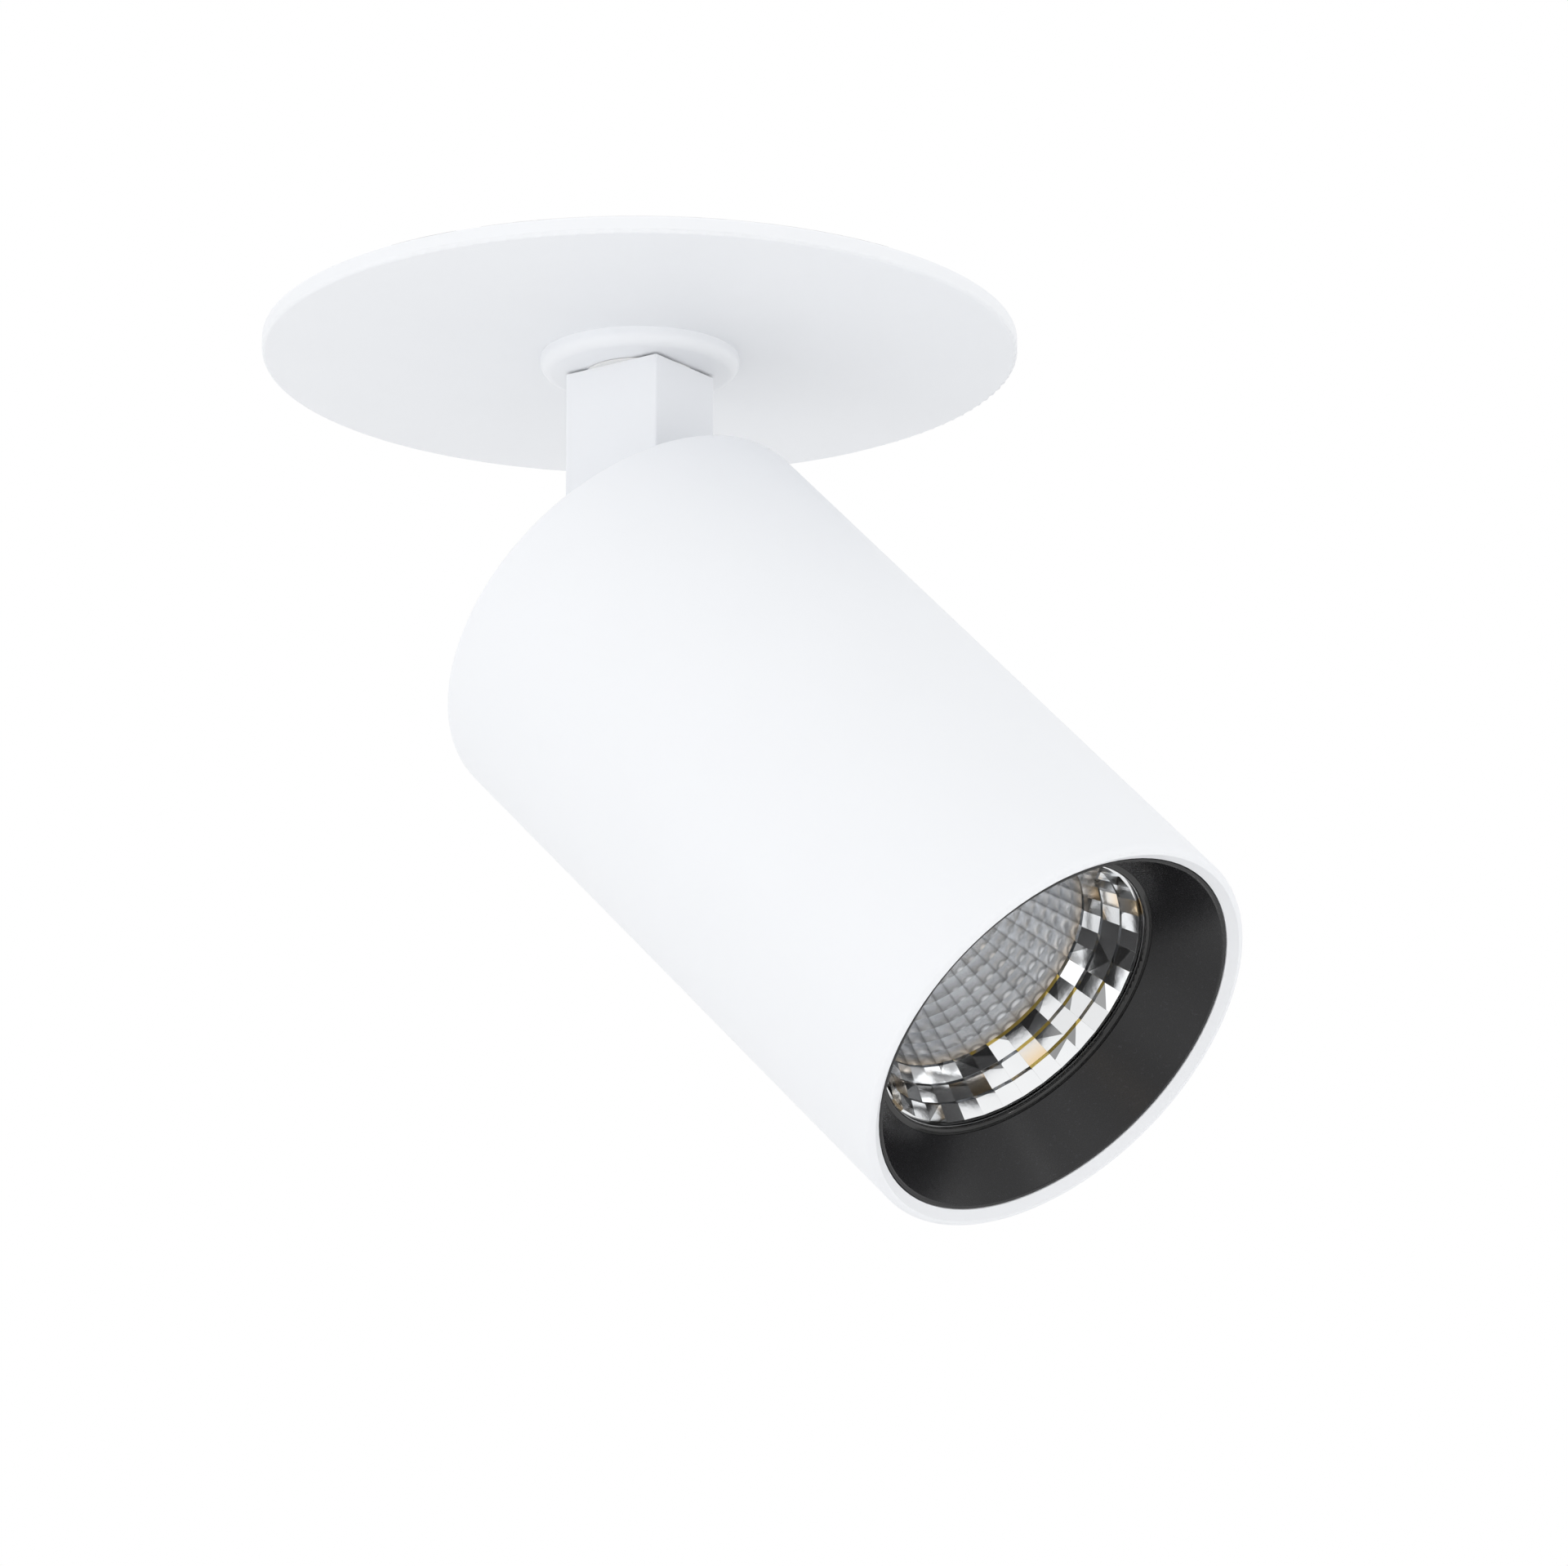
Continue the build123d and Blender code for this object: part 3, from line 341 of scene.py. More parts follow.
def spring_wire():
    """Hard-drawn spring steel with fine drawing lines."""
    wire = Finish("spring steel", Metallic=1.0)
    lines = wire.noise(0.12 * MM, detail=2, place=wire.stretched((1, 0.15, 1)))
    wire.set("Base Color", wire.mix(lines, grey(0.5), grey(0.66)))
    wire.set("Roughness", 0.22 + 0.16 * lines)
    wire.bump(lines, 0.005 * MM, 0.3)
    return wire.material


def plain_brass():
    """Brass with a faint patchy tarnish."""
    brass = Finish("brass", Metallic=1.0)
    patch = brass.noise(1.2 * MM, detail=4)
    brass.set("Base Color", brass.mix(patch, (0.72, 0.52, 0.22, 1), (0.83, 0.66, 0.33, 1)))
    brass.set("Roughness", 0.24 + 0.18 * patch)
    brass.bump(brass.noise(0.3 * MM), 0.008 * MM, 0.3)
    return brass.material


def extruded_aluminium():
    """Matt aluminium whose extrusion lines run along the head."""
    alloy = Finish("bare aluminium", Metallic=1.0)
    turned = alloy.graph.add(
        "ShaderNodeMapping",
        {"Vector": alloy.place, "Rotation": (0, HEAD_TILT, 0), "Scale": (1, 1, 0.04)},
    )
    lines = alloy.noise(0.25 * MM, detail=3, place=turned)
    alloy.set("Base Color", alloy.mix(lines, grey(0.6), grey(0.74, (0, 0, 0.01))))
    alloy.set("Roughness", 0.34 + 0.2 * lines)
    alloy.bump(lines, 0.012 * MM, 0.4)
    return alloy.material


def moulded_plastic(name, low, high, rough):
    """Matt technical plastic with a fine moulded grain."""
    plastic = Finish(name, IOR=1.5)
    plastic.set("Base Color", plastic.mix(plastic.noise(5 * MM, detail=3), low, high))
    plastic.set("Roughness", rough + 0.14 * plastic.noise(0.8 * MM))
    plastic.bump(plastic.noise(0.3 * MM, detail=3), 0.012 * MM, 0.35)
    return plastic.material


def cell_foam():
    """Black foam of the gasket, with its cells."""
    foam = Finish("closed-cell foam", IOR=1.4)
    cells = foam.graph.add(
        "ShaderNodeTexVoronoi",
        {"Vector": foam.place, "Scale": 1 / (0.5 * MM)},
        feature="DISTANCE_TO_EDGE",
    )
    foam.set("Base Color", foam.mix(cells * 3, grey(0.03), grey(0.07)))
    foam.set("Roughness", 0.86 + 0.1 * foam.noise(1 * MM))
    foam.bump(cells, 0.12 * MM, 0.7)
    return foam.material


def soft_pad():
    """Blue-grey silicone of the thermal pad."""
    pad = Finish("thermal pad", IOR=1.42)
    pad.set("Base Color", pad.mix(pad.noise(1.5 * MM), (0.3, 0.4, 0.52, 1), (0.38, 0.48, 0.58, 1)))
    pad.set("Roughness", 0.6 + 0.2 * pad.noise(0.5 * MM))
    pad.bump(pad.noise(0.25 * MM), 0.02 * MM, 0.5)
    return pad.material


def phosphor_gel():
    """Yellow silicone over the light-emitting chips, whose dots show through faintly."""
    gel = Finish("phosphor gel", IOR=1.43)
    dots = gel.graph.add("ShaderNodeTexVoronoi", {"Vector": gel.place, "Scale": 1 / (1.1 * MM)})
    gel.set("Base Color", gel.mix(dots, (0.95, 0.62, 0.08, 1), (0.86, 0.68, 0.2, 1)))
    gel.set("Roughness", 0.3 + 0.1 * gel.noise(0.6 * MM))
    gel.bump(gel.noise(0.9 * MM), 0.02 * MM, 0.4)
    return gel.material


def lead_sheath():
    """White silicone sleeve of the inner lead."""
    sheath = Finish("silicone lead", IOR=1.43)
    sheath.set("Base Color", sheath.mix(sheath.noise(6 * MM, detail=4), grey(0.66), grey(0.76)))
    sheath.set("Roughness", 0.5 + 0.16 * sheath.noise(1.2 * MM))
    sheath.bump(sheath.noise(0.35 * MM, detail=3), 0.015 * MM, 0.4)
    return sheath.material


def smooth_mesh(name, working, crease):
    """A mesh from a bmesh, smooth but for edges that bend by more than the crease angle."""
    bmesh.ops.remove_doubles(working, verts=working.verts, dist=1e-7)
    bmesh.ops.recalc_face_normals(working, faces=working.faces)
    mesh = bpy.data.meshes.new(name)
    working.to_mesh(mesh)
    working.free()
    mesh.shade_smooth()
    mesh.set_sharp_from_angle(angle=crease)
    return mesh


def place_piece(name, mesh, material, slot, body, *replaced):
    """Puts a finished mesh into the scene, ties it to a body and hides the nodes it stands for."""
    piece = bpy.data.objects.new(name, mesh)
    bpy.context.scene.collection.objects.link(piece)
    mesh.materials.clear()
    mesh.materials.append(material)
    if replaced:
        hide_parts(*replaced)
    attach(piece, body)


def hexagon(flat, limit):
    """The rule of a hexagon whose corners are cut off by a circle."""
    return lambda angle: min(flat / cos(angle % (pi / 3) - pi / 6), limit)


def star(radius, depth):
    """The rule of a six-lobed socket."""
    return lambda angle: radius - depth * (0.5 - 0.5 * cos(6 * angle))


def turned(rows, segments=48, ring=False):
    """Rings about the local z axis, each from a height and a radius or a rule of the angle.

    A ring-shaped form closes on its first row, and any other form has a cap at both ends.
    """
    working = bmesh.new()
    circles = []
    for height, reach in rows:
        circle = []
        for turn in range(segments):
            angle = 2 * pi * turn / segments
            radius = reach(angle) if callable(reach) else reach
            circle.append(working.verts.new((radius * cos(angle), radius * sin(angle), height)))
        circles.append(circle)
    for circle, following in zip(circles, circles[1:] + circles[:1] if ring else circles[1:]):
        for turn in range(segments):
            onward = (turn + 1) % segments
            working.faces.new((circle[turn], circle[onward], following[onward], following[turn]))
    if not ring:
        working.faces.new(circles[0])
        working.faces.new(circles[-1])
    return working


def thread_rows(radius, bottom, top, pitch, cut=None):
    """Rows of a helical thread, whose ends taper to the core."""
    depth = THREAD_DEPTH * pitch
    steps = round((top - bottom) / pitch * THREAD_STEPS)
    rows = []
    for step in range(steps + 1):
        height = bottom + (top - bottom) * step / steps
        taper = max(0, depth - min(top - height, height - bottom))

        def reach(angle, height=height, taper=taper):
            phase = (height / pitch - angle / (2 * pi)) % 1
            thread = radius - max(depth * abs(2 * phase - 1), taper)
            if cut and cos(angle) > 0:
                return min(thread, cut / cos(angle))
            return thread

        rows.append((height, reach))
    return rows


def solids_of(node):
    """The vertex places of each separate solid of a node, in a fixed order."""
    working = bmesh.new()
    working.from_mesh(node.data)
    working.transform(node.matrix_world)
    bmesh.ops.remove_doubles(working, verts=working.verts, dist=1e-6)
    reached = set()
    solids = []
    for first in working.verts:
        if first in reached:
            continue
        reached.add(first)
        waiting = [first]
        places = []
        while waiting:
            vertex = waiting.pop()
            places.append(vertex.co.copy())
            for edge in vertex.link_edges:
                other = edge.other_vert(vertex)
                if other not in reached:
                    reached.add(other)
                    waiting.append(other)
        solids.append(places)
    working.free()
    return solids


def along(direction):
    """A frame whose z axis has this direction."""
    return Vector(direction).to_track_quat("Z", "Y").to_matrix().to_4x4()


def measured(places, frame_axis):
    """Ends, centre line and radii of a turned solid in a frame along its axis."""
    inverse = frame_axis.inverted()
    local = [inverse @ place for place in places]
    lows = [min(place[axis] for place in local) for axis in range(3)]
    highs = [max(place[axis] for place in local) for axis in range(3)]
    centre = Vector(((lows[0] + highs[0]) / 2, (lows[1] + highs[1]) / 2, 0))
    profile = [((place - centre).xy.length, place.z) for place in local]
    return centre, lows[2], highs[2], profile


def dressed(node, axis, rule):
    """Replaces each solid of a node by the turned form that a rule makes from its sizes."""
    place = along(axis)
    working = bmesh.new()
    for number, places in enumerate(solids_of(frame["nodes"][node])):
        centre, low, high, profile = measured(places, place)
        form = rule(low, high, profile)
        form.transform(place @ Matrix.Translation(centre))
        part = bpy.data.meshes.new(f"{node}_{number}")
        form.to_mesh(part)
        form.free()
        working.from_mesh(part)
        bpy.data.meshes.remove(part)
    material = frame["nodes"][node].material_slots[0].material
    slot = next(
        part["material_slot"] for part in frame["record"]["subparts"] if part["node"] == node
    )
    body = next(
        name for name, nodes in frame["record"]["behaviour"]["bodies"].items() if node in nodes
    )
    mesh = smooth_mesh(f"{node}_detail", working, FASTENER_CREASE)
    place_piece(f"{node}_detail", mesh, material, slot, body, node)


def screw_form(low, high, profile):
    """A pan head with a rounded rim and a six-lobed socket on a threaded shank."""
    head_radius = max(radius for radius, height in profile)
    wide = [height for radius, height in profile if radius > 0.97 * head_radius]
    shank = min(radius for radius, height in profile if radius > 0.1 * head_radius)
    head_low, head_high = min(wide), max(wide)
    upward = head_high > (low + high) / 2
    seat, top = (head_low, head_high) if upward else (head_high, head_low)
    tip = low if upward else high
    height = top - seat
    rim_steps = 5
    rim_rows = []
    for step in range(rim_steps + 1):
        bend = pi / 2 * step / rim_steps
        rim_radius = head_radius * (0.72 + 0.28 * sin(bend))
        rim_rows.append((top - height * 0.45 * (1 - cos(bend)), rim_radius))
    socket = star(0.55 * head_radius, 0.13 * head_radius)
    sunk = top - 0.55 * height
    rows = [(sunk, 0.2 * head_radius), (sunk, socket), (top, socket)]
    rows += [*rim_rows, (seat, head_radius)]
    pitch = shank / 3
    core = thread_rows(shank, min(seat, tip), max(seat, tip), pitch)
    rows += core[::-1] if upward else core
    return turned(rows)


def stud_form(low, high, profile):
    """A threaded stud whose lower end stands plain on the plate."""
    radius = max(radius for radius, height in profile)
    rows = thread_rows(radius, low, high, radius / 3)
    return turned([(low, radius), *rows[2:]], segments=36)


def nut_form(low, high, profile):
    """A hexagon nut with both faces chamfered and a lead-in at its bore."""
    corner = max(radius for radius, height in profile)
    bore = min(radius for radius, height in profile)
    flat = corner * cos(pi / 6)
    chamfer = 0.12 * (corner - bore)
    rows = []
    for side, face in ((1, low), (-1, high)):
        edge = [
            (face + side * 1.2 * chamfer, bore),
            (face, bore + chamfer),
            (face, 0.97 * flat),
            (face + side * 0.8 * chamfer, hexagon(flat, 0.5 * (corner + flat))),
            (face + side * 2 * chamfer, hexagon(flat, corner)),
        ]
        rows += edge[::side]
    return turned(rows, ring=True)


def tube_form(low, high, profile):
    """The threaded tube of the swivel, with the flat that keys its stop washer."""
    radius = max(radius for radius, height in profile)
    bore = min(radius for radius, height in profile)
    plain = [(low, bore), (low, radius), (TUBE_FLAT_START, radius)]
    flat = radius - TUBE_FLAT_DEPTH
    rows = [*plain, *thread_rows(radius, TUBE_FLAT_START, high, TUBE_PITCH, flat), (high, bore)]
    return turned(rows, segments=72, ring=True)


def grub_form(low, high, profile):
    """A slotted clamp screw, its slot cut as a wedge of the top face."""
    radius = max(radius for radius, height in profile)
    half_slot = 0.14 * radius
    edge = 0.08 * (high - low)
    rows = thread_rows(radius, low, high - edge, GRUB_PITCH)
    deep = high - 0.3 * (high - low)

    def slot(angle):
        return min(half_slot / max(abs(sin(angle)), 1e-3), 0.86 * radius)

    top = [(high - edge, 0.93 * radius), (high, 0.88 * radius), (high, slot), (deep, slot)]
    return turned([*rows, *top])


class ReflectorSizes(bpy.types.PropertyGroup):
    facets: bpy.props.IntProperty(
        name="Facets", description="Facets around the bowl", default=40
    )
    flare_rows: bpy.props.IntProperty(
        name="Flare rows", description="Tall rows at the mouth", default=3
    )
    bowl_rows: bpy.props.IntProperty(
        name="Bowl rows", description="Rows behind the flare", default=10
    )
    divisions: bpy.props.IntProperty(
        name="Divisions", description="Faces along each side of a facet", default=6
    )
    mouth_radius: bpy.props.FloatProperty(
        name="Mouth radius", description="At the flare's front", default=19.0 * MM, unit="LENGTH"
    )
    flare_width: bpy.props.FloatProperty(
        name="Flare width", description="Radius lost over the flare", default=3.1 * MM,
        unit="LENGTH",
    )
    flare_depth: bpy.props.FloatProperty(
        name="Flare depth", description="Along the head", default=7.35 * MM, unit="LENGTH"
    )
    throat_radius: bpy.props.FloatProperty(
        name="Throat radius", description="At the lamp", default=9.0 * MM, unit="LENGTH"
    )
    bowl_depth: bpy.props.FloatProperty(
        name="Bowl depth", description="From throat to flare", default=14.3 * MM, unit="LENGTH"
    )
    throat_at: bpy.props.FloatProperty(
        name="Throat station", description="Along the head", default=58.7 * MM, unit="LENGTH"
    )
    turn: bpy.props.FloatProperty(
        name="Turn", description="Where the first facet starts", default=radians(6),
        subtype="ANGLE",
    )
    flare_lean: bpy.props.FloatProperty(
        name="Flare lean", description="Rise of a flare facet over its width", default=0.095
    )
    pillow: bpy.props.FloatProperty(
        name="Pillow", description="Rise of a bowl facet over its width", default=0.05
    )
    flange_radius: bpy.props.FloatProperty(
        name="Flange radius", description="Outside", default=22.3 * MM, unit="LENGTH"
    )
    wall: bpy.props.FloatProperty(
        name="Wall", description="Behind the facets", default=1.2 * MM, unit="LENGTH"
    )
    neck: bpy.props.FloatProperty(
        name="Neck", description="Into the holder", default=1.2 * MM, unit="LENGTH"
    )


class StudioSettings(bpy.types.PropertyGroup):
    distance: bpy.props.FloatProperty(
        name="Distance", description="From camera to the origin's plane", default=1.1389,
        unit="LENGTH",
    )
    azimuth: bpy.props.FloatProperty(
        name="Azimuth", description="Camera's turn about Z", default=radians(35.87),
        subtype="ANGLE",
    )
    elevation: bpy.props.FloatProperty(
        name="Elevation", description="Camera's height angle", default=radians(-16.03),
        subtype="ANGLE",
    )
    roll: bpy.props.FloatProperty(
        name="Roll", description="Camera's turn about its view", default=radians(-0.11),
        subtype="ANGLE",
    )
    lens: bpy.props.FloatProperty(name="Lens", description="Focal length in mm", default=207.7)
    ambient: bpy.props.FloatProperty(
        name="Ambient", description="Light from all around", default=0.97
    )
    upward_power: bpy.props.FloatProperty(
        name="Upward power", description="Large lamp below", default=0.34, unit="POWER"
    )
    near_power: bpy.props.FloatProperty(
        name="Near power", description="Small lamp beside the plate", default=0.06, unit="POWER"
    )
    glint_power: bpy.props.FloatProperty(
        name="Glint power", description="Small lamps seen in the mirror", default=0.04,
        unit="POWER",
    )
    key_power: bpy.props.FloatProperty(
        name="Key power", description="Large lamp at the camera's left", default=0.4, unit="POWER"
    )
    fill_power: bpy.props.FloatProperty(
        name="Fill power", description="Large lamp at the camera's right", default=1.2,
        unit="POWER",
    )


class FinishColours(bpy.types.PropertyGroup):
    coat: bpy.props.FloatVectorProperty(
        name="Coat", description="Powder coat", subtype="COLOR", size=4, min=0, max=1,
        default=(0.86, 0.875, 0.9, 1),
    )
    baffle: bpy.props.FloatVectorProperty(
        name="Baffle", description="Matt black", subtype="COLOR", size=4, min=0, max=1,
        default=(0.004, 0.004, 0.005, 1),
    )
    reflector: bpy.props.FloatVectorProperty(
        name="Reflector", description="Metallised surface", subtype="COLOR", size=4,
        min=0, max=1, default=(0.9, 0.91, 0.92, 1),
    )


def facet_tree(material):
    """Geometry nodes that bend a patch over each facet of the bowl."""
    tree = bpy.data.node_groups.new("Reflector facets", "GeometryNodeTree")
    sockets = {}
    for name, kind in (
        ("Facets", "Int"),
        ("Flare Rows", "Int"),
        ("Bowl Rows", "Int"),
        ("Divisions", "Int"),
        ("Mouth Radius", "Float"),
        ("Flare Width", "Float"),
        ("Flare Depth", "Float"),
        ("Throat Radius", "Float"),
        ("Bowl Depth", "Float"),
        ("Turn", "Float"),
        ("Flare Lean", "Float"),
        ("Pillow", "Float"),
    ):
        socket = tree.interface.new_socket(
            name=name, in_out="INPUT", socket_type=f"NodeSocket{kind}"
        )
        sockets[name] = socket.identifier
    tree.interface.new_socket(
        name="Geometry", in_out="OUTPUT", socket_type="NodeSocketGeometry"
    )
    graph = Graph(tree)
    facets = graph.add("NodeGroupInput", output="Facets")
    flare_rows = facets.output("Flare Rows")
    bowl_rows = facets.output("Bowl Rows")
    divisions = facets.output("Divisions")
    mouth = facets.output("Mouth Radius")
    flare_width = facets.output("Flare Width")
    flare_depth = facets.output("Flare Depth")
    throat = facets.output("Throat Radius")
    bowl_depth = facets.output("Bowl Depth")
    turn = facets.output("Turn")
    flare_lean = facets.output("Flare Lean")
    bowl_pillow = facets.output("Pillow")
    rows = flare_rows + bowl_rows

    cells = graph.add(
        "GeometryNodeMeshGrid",
        {"Size X": facets - 1, "Size Y": rows - 1, "Vertices X": facets, "Vertices Y": rows},
    )
    corner = graph.add("ShaderNodeCombineXYZ", {"X": (facets - 1) / 2, "Y": (rows - 1) / 2})
    cells = graph.add("GeometryNodeTransform", {"Geometry": cells, "Translation": corner})
    across = graph.add("ShaderNodeSeparateXYZ", {0: graph.add("GeometryNodeInputPosition")})
    for name, value in (("column", across), ("row", across.output("Y"))):
        cells = graph.add(
            "GeometryNodeStoreNamedAttribute",
            {"Geometry": cells, "Name": name, "Value": value},
            data_type="FLOAT",
            domain="POINT",
        )
    patch = graph.add(
        "GeometryNodeMeshGrid",
        {"Size X": 1.0, "Size Y": 1.0, "Vertices X": divisions + 1, "Vertices Y": divisions + 1},
    )
    patches = graph.add("GeometryNodeInstanceOnPoints", {"Points": cells, "Instance": patch})
    patches = graph.add("GeometryNodeRealizeInstances", {"Geometry": patches})

    column = graph.add("GeometryNodeInputNamedAttribute", {"Name": "column"})
    row = graph.add("GeometryNodeInputNamedAttribute", {"Name": "row"})
    spot = graph.add("ShaderNodeSeparateXYZ", {0: graph.add("GeometryNodeInputPosition")})
    along_facet = spot - column + 0.5
    down_facet = spot.output("Y") - row + 0.5

    # The flare narrows evenly, and the bowl behind it is a parabola
    flare_end = mouth - flare_width
    rise = (flare_end * flare_end - throat * throat) / bowl_depth

    def row_edge(edge):
        flare_left = 1 - edge.math("MINIMUM", edge, flare_rows) / flare_rows
        bowl_left = 1 - edge.math("MAXIMUM", edge - flare_rows, 0) / bowl_rows
        bowl_height = bowl_depth * bowl_left
        edge_radius = (throat * throat + rise * bowl_height) ** 0.5 + flare_width * flare_left
        return edge_radius, bowl_height + flare_depth * flare_left

    upper_radius, upper_at = row_edge(row)
    lower_radius, lower_at = row_edge(row + 1)
    drop = upper_at - lower_at
    narrowing = upper_radius - lower_radius
    slant = (drop * drop + narrowing * narrowing) ** 0.5
    step = 2 * pi / facets
    in_bowl = row.math("GREATER_THAN", row, flare_rows - 0.5)
    pillow = flare_lean + (bowl_pillow - flare_lean) * in_bowl
    around_bulge = 1 - (2 * along_facet - 1) ** 2
    down_bulge = 1 - (2 * down_facet - 1) ** 2
    shingle = down_facet.math("MINIMUM", down_facet, (1 - down_facet) * (divisions - 1))
    shape = shingle + (around_bulge * down_bulge - shingle) * in_bowl
    swell = pillow * upper_radius * step * shape
    chord = graph.add("ShaderNodeMath", {0: step / 2}, operation="COSINE") / graph.add(
        "ShaderNodeMath", {0: step * (along_facet - 0.5)}, operation="COSINE"
    )
    radius = (upper_radius - narrowing * down_facet) * chord - swell * drop / slant
    height = upper_at - drop * down_facet + swell * narrowing / slant
    angle = turn + step * (column + along_facet)
    place = graph.add(
        "ShaderNodeCombineXYZ",
        {
            "X": radius * graph.add("ShaderNodeMath", {0: angle}, operation="COSINE"),
            "Y": radius * graph.add("ShaderNodeMath", {0: angle}, operation="SINE"),
            "Z": height,
        },
    )
    count = graph.add("ShaderNodeCombineXYZ", {"X": column + along_facet, "Y": row + down_facet})
    patches = graph.add(
        "GeometryNodeStoreNamedAttribute",
        {"Geometry": patches, "Name": "facet", "Value": count},
        data_type="FLOAT2",
        domain="CORNER",
    )
    bowl = graph.add("GeometryNodeSetPosition", {"Geometry": patches, "Position": place})
    bowl = graph.add("GeometryNodeSetMaterial", {"Geometry": bowl, "Material": material})
    graph.add("NodeGroupOutput", {"Geometry": bowl})
    return tree, sockets


def evaluated_mesh(name, tree, values):
    """The plain mesh that a geometry tree makes from its inputs."""
    carrier = bpy.data.objects.new(name, bpy.data.meshes.new(name))
    bpy.context.scene.collection.objects.link(carrier)
    modifier = carrier.modifiers.new(name, "NODES")
    modifier.node_group = tree
    for identifier, value in values.items():
        modifier[identifier] = value
    bpy.context.view_layer.update()
    evaluated = carrier.evaluated_get(bpy.context.evaluated_depsgraph_get())
    mesh = bpy.data.meshes.new_from_object(evaluated)
    bpy.data.objects.remove(carrier)
    return mesh


class SPOTLIGHT_OT_reflector(bpy.types.Operator):
    """Makes the faceted bowl with its wall, flange and neck"""

    bl_idname = "spotlight.reflector"
    bl_label = "Reflector"

    def execute(self, context):
        sizes = context.scene.spotlight_reflector
        colour = context.scene.spotlight_colours.reflector
        material = mirror_aluminium(colour, sizes.facets, sizes.flare_rows)
        tree, sockets = facet_tree(material)
        values = {
            "Facets": sizes.facets,
            "Flare Rows": sizes.flare_rows,
            "Bowl Rows": sizes.bowl_rows,
            "Divisions": sizes.divisions,
            "Mouth Radius": sizes.mouth_radius,
            "Flare Width": sizes.flare_width,
            "Flare Depth": sizes.flare_depth,
            "Throat Radius": sizes.throat_radius,
            "Bowl Depth": sizes.bowl_depth,
            "Turn": sizes.turn,
            "Flare Lean": sizes.flare_lean,
            "Pillow": sizes.pillow,
        }
        facets = evaluated_mesh(
            "reflector_facets", tree, {sockets[name]: value for name, value in values.items()}
        )
        working = bmesh.new()
        working.from_mesh(facets)
        bmesh.ops.remove_doubles(working, verts=working.verts, dist=1e-6)
        depth = sizes.flare_depth + sizes.bowl_depth
        mouth = [
            edge
            for edge in working.edges
            if edge.is_boundary and min(v.co.z for v in edge.verts) > depth / 2
        ]
        flare_end = sizes.mouth_radius - sizes.flare_width
        rise = (flare_end**2 - sizes.throat_radius**2) / sizes.bowl_depth
        flange_share = FLANGE_THICKNESS / sizes.flare_depth
        flange_root = sizes.mouth_radius - sizes.flare_width * flange_share
        wall_rings = [
            (sizes.flange_radius, depth),
            (sizes.flange_radius, depth - FLANGE_THICKNESS),
            (flange_root + sizes.wall, depth - FLANGE_THICKNESS),
        ]
        for share in (1, 0.8, 0.6, 0.4, 0.2, 0):
            height = sizes.bowl_depth * share
            wall_rings.append((sqrt(sizes.throat_radius**2 + rise * height) + sizes.wall, height))
        wall_rings.append((sizes.throat_radius + sizes.wall, -sizes.neck))
        wall_rings.append((sizes.throat_radius, -sizes.neck))
        wall_rings.append((sizes.throat_radius, -THROAT_STEP))
        ring = mouth
        for radius, height in wall_rings:
            grown = bmesh.ops.extrude_edge_only(working, edges=ring)["geom"]
            for vertex in (item for item in grown if isinstance(item, bmesh.types.BMVert)):
                flat = Vector((vertex.co.x, vertex.co.y)).normalized() * radius
                vertex.co = (flat.x, flat.y, height)
            ring = [item for item in grown if isinstance(item, bmesh.types.BMEdge)]
        # The neck's bore meets the bowl's throat, the two loops that are still open
        throat = [edge for edge in working.edges if edge.is_boundary]
        bmesh.ops.bridge_loops(working, edges=throat)
        mesh = smooth_mesh("reflector_bowl", working, radians(7))
        mesh.transform(HEAD @ Matrix.Translation((0, 0, sizes.throat_at)))
        place_piece("reflector_bowl", mesh, material, "mirror_aluminium", "head", "reflector")
        return {"FINISHED"}


class SPOTLIGHT_OT_fasteners(bpy.types.Operator):
    """Threads the studs, the tube and the screws, and chamfers the nuts"""

    bl_idname = "spotlight.fasteners"
    bl_label = "Fasteners"

    def execute(self, context):
        ceiling_up = (0, 0, 1)
        dressed("plate_studs", ceiling_up, stud_form)
        dressed("frame_nuts", ceiling_up, nut_form)
        dressed("swivel_nut", ceiling_up, nut_form)
        dressed("swivel_tube", ceiling_up, tube_form)
        dressed("block_screw", ceiling_up, screw_form)
        dressed("clamp_screws", ceiling_up, grub_form)
        dressed("cap_screws", FORWARD, screw_form)
        dressed("yoke_screws", FORWARD, screw_form)
        dressed("holder_screws", FORWARD, screw_form)
        return {"FINISHED"}


class SPOTLIGHT_OT_finishes(bpy.types.Operator):
    """Gives each of the frame's nodes the finish of its slot"""

    bl_idname = "spotlight.finishes"
    bl_label = "Finishes"

    def execute(self, context):
        colours = context.scene.spotlight_colours
        facets = context.scene.spotlight_reflector.facets
        finishes = {
            "white_paint": powder_coat(colours.coat),
            "black_plastic": moulded_black(colours.baffle),
            "black_gloss": gloss_black(),
            "mirror_aluminium": mirror_aluminium(colours.reflector, facets, ALL_FLARE),
            "zinc_steel": zinc_plate(),
            "spring_steel": spring_wire(),
            "brass": plain_brass(),
            "bare_aluminium": extruded_aluminium(),
            "white_plastic": moulded_plastic("white plastic", grey(0.74), grey(0.8), 0.4),
            "grey_plastic": moulded_plastic("grey plastic", grey(0.16), grey(0.2), 0.45),
            "foam": cell_foam(),
            "silicone_pad": soft_pad(),
            "phosphor": phosphor_gel(),
            "lead_sleeve": lead_sheath(),
        }
        for subpart in frame["record"]["subparts"]:
            node = frame["nodes"][subpart["node"]]
            node.material_slots[0].material = finishes[subpart["material_slot"]]
        return {"FINISHED"}


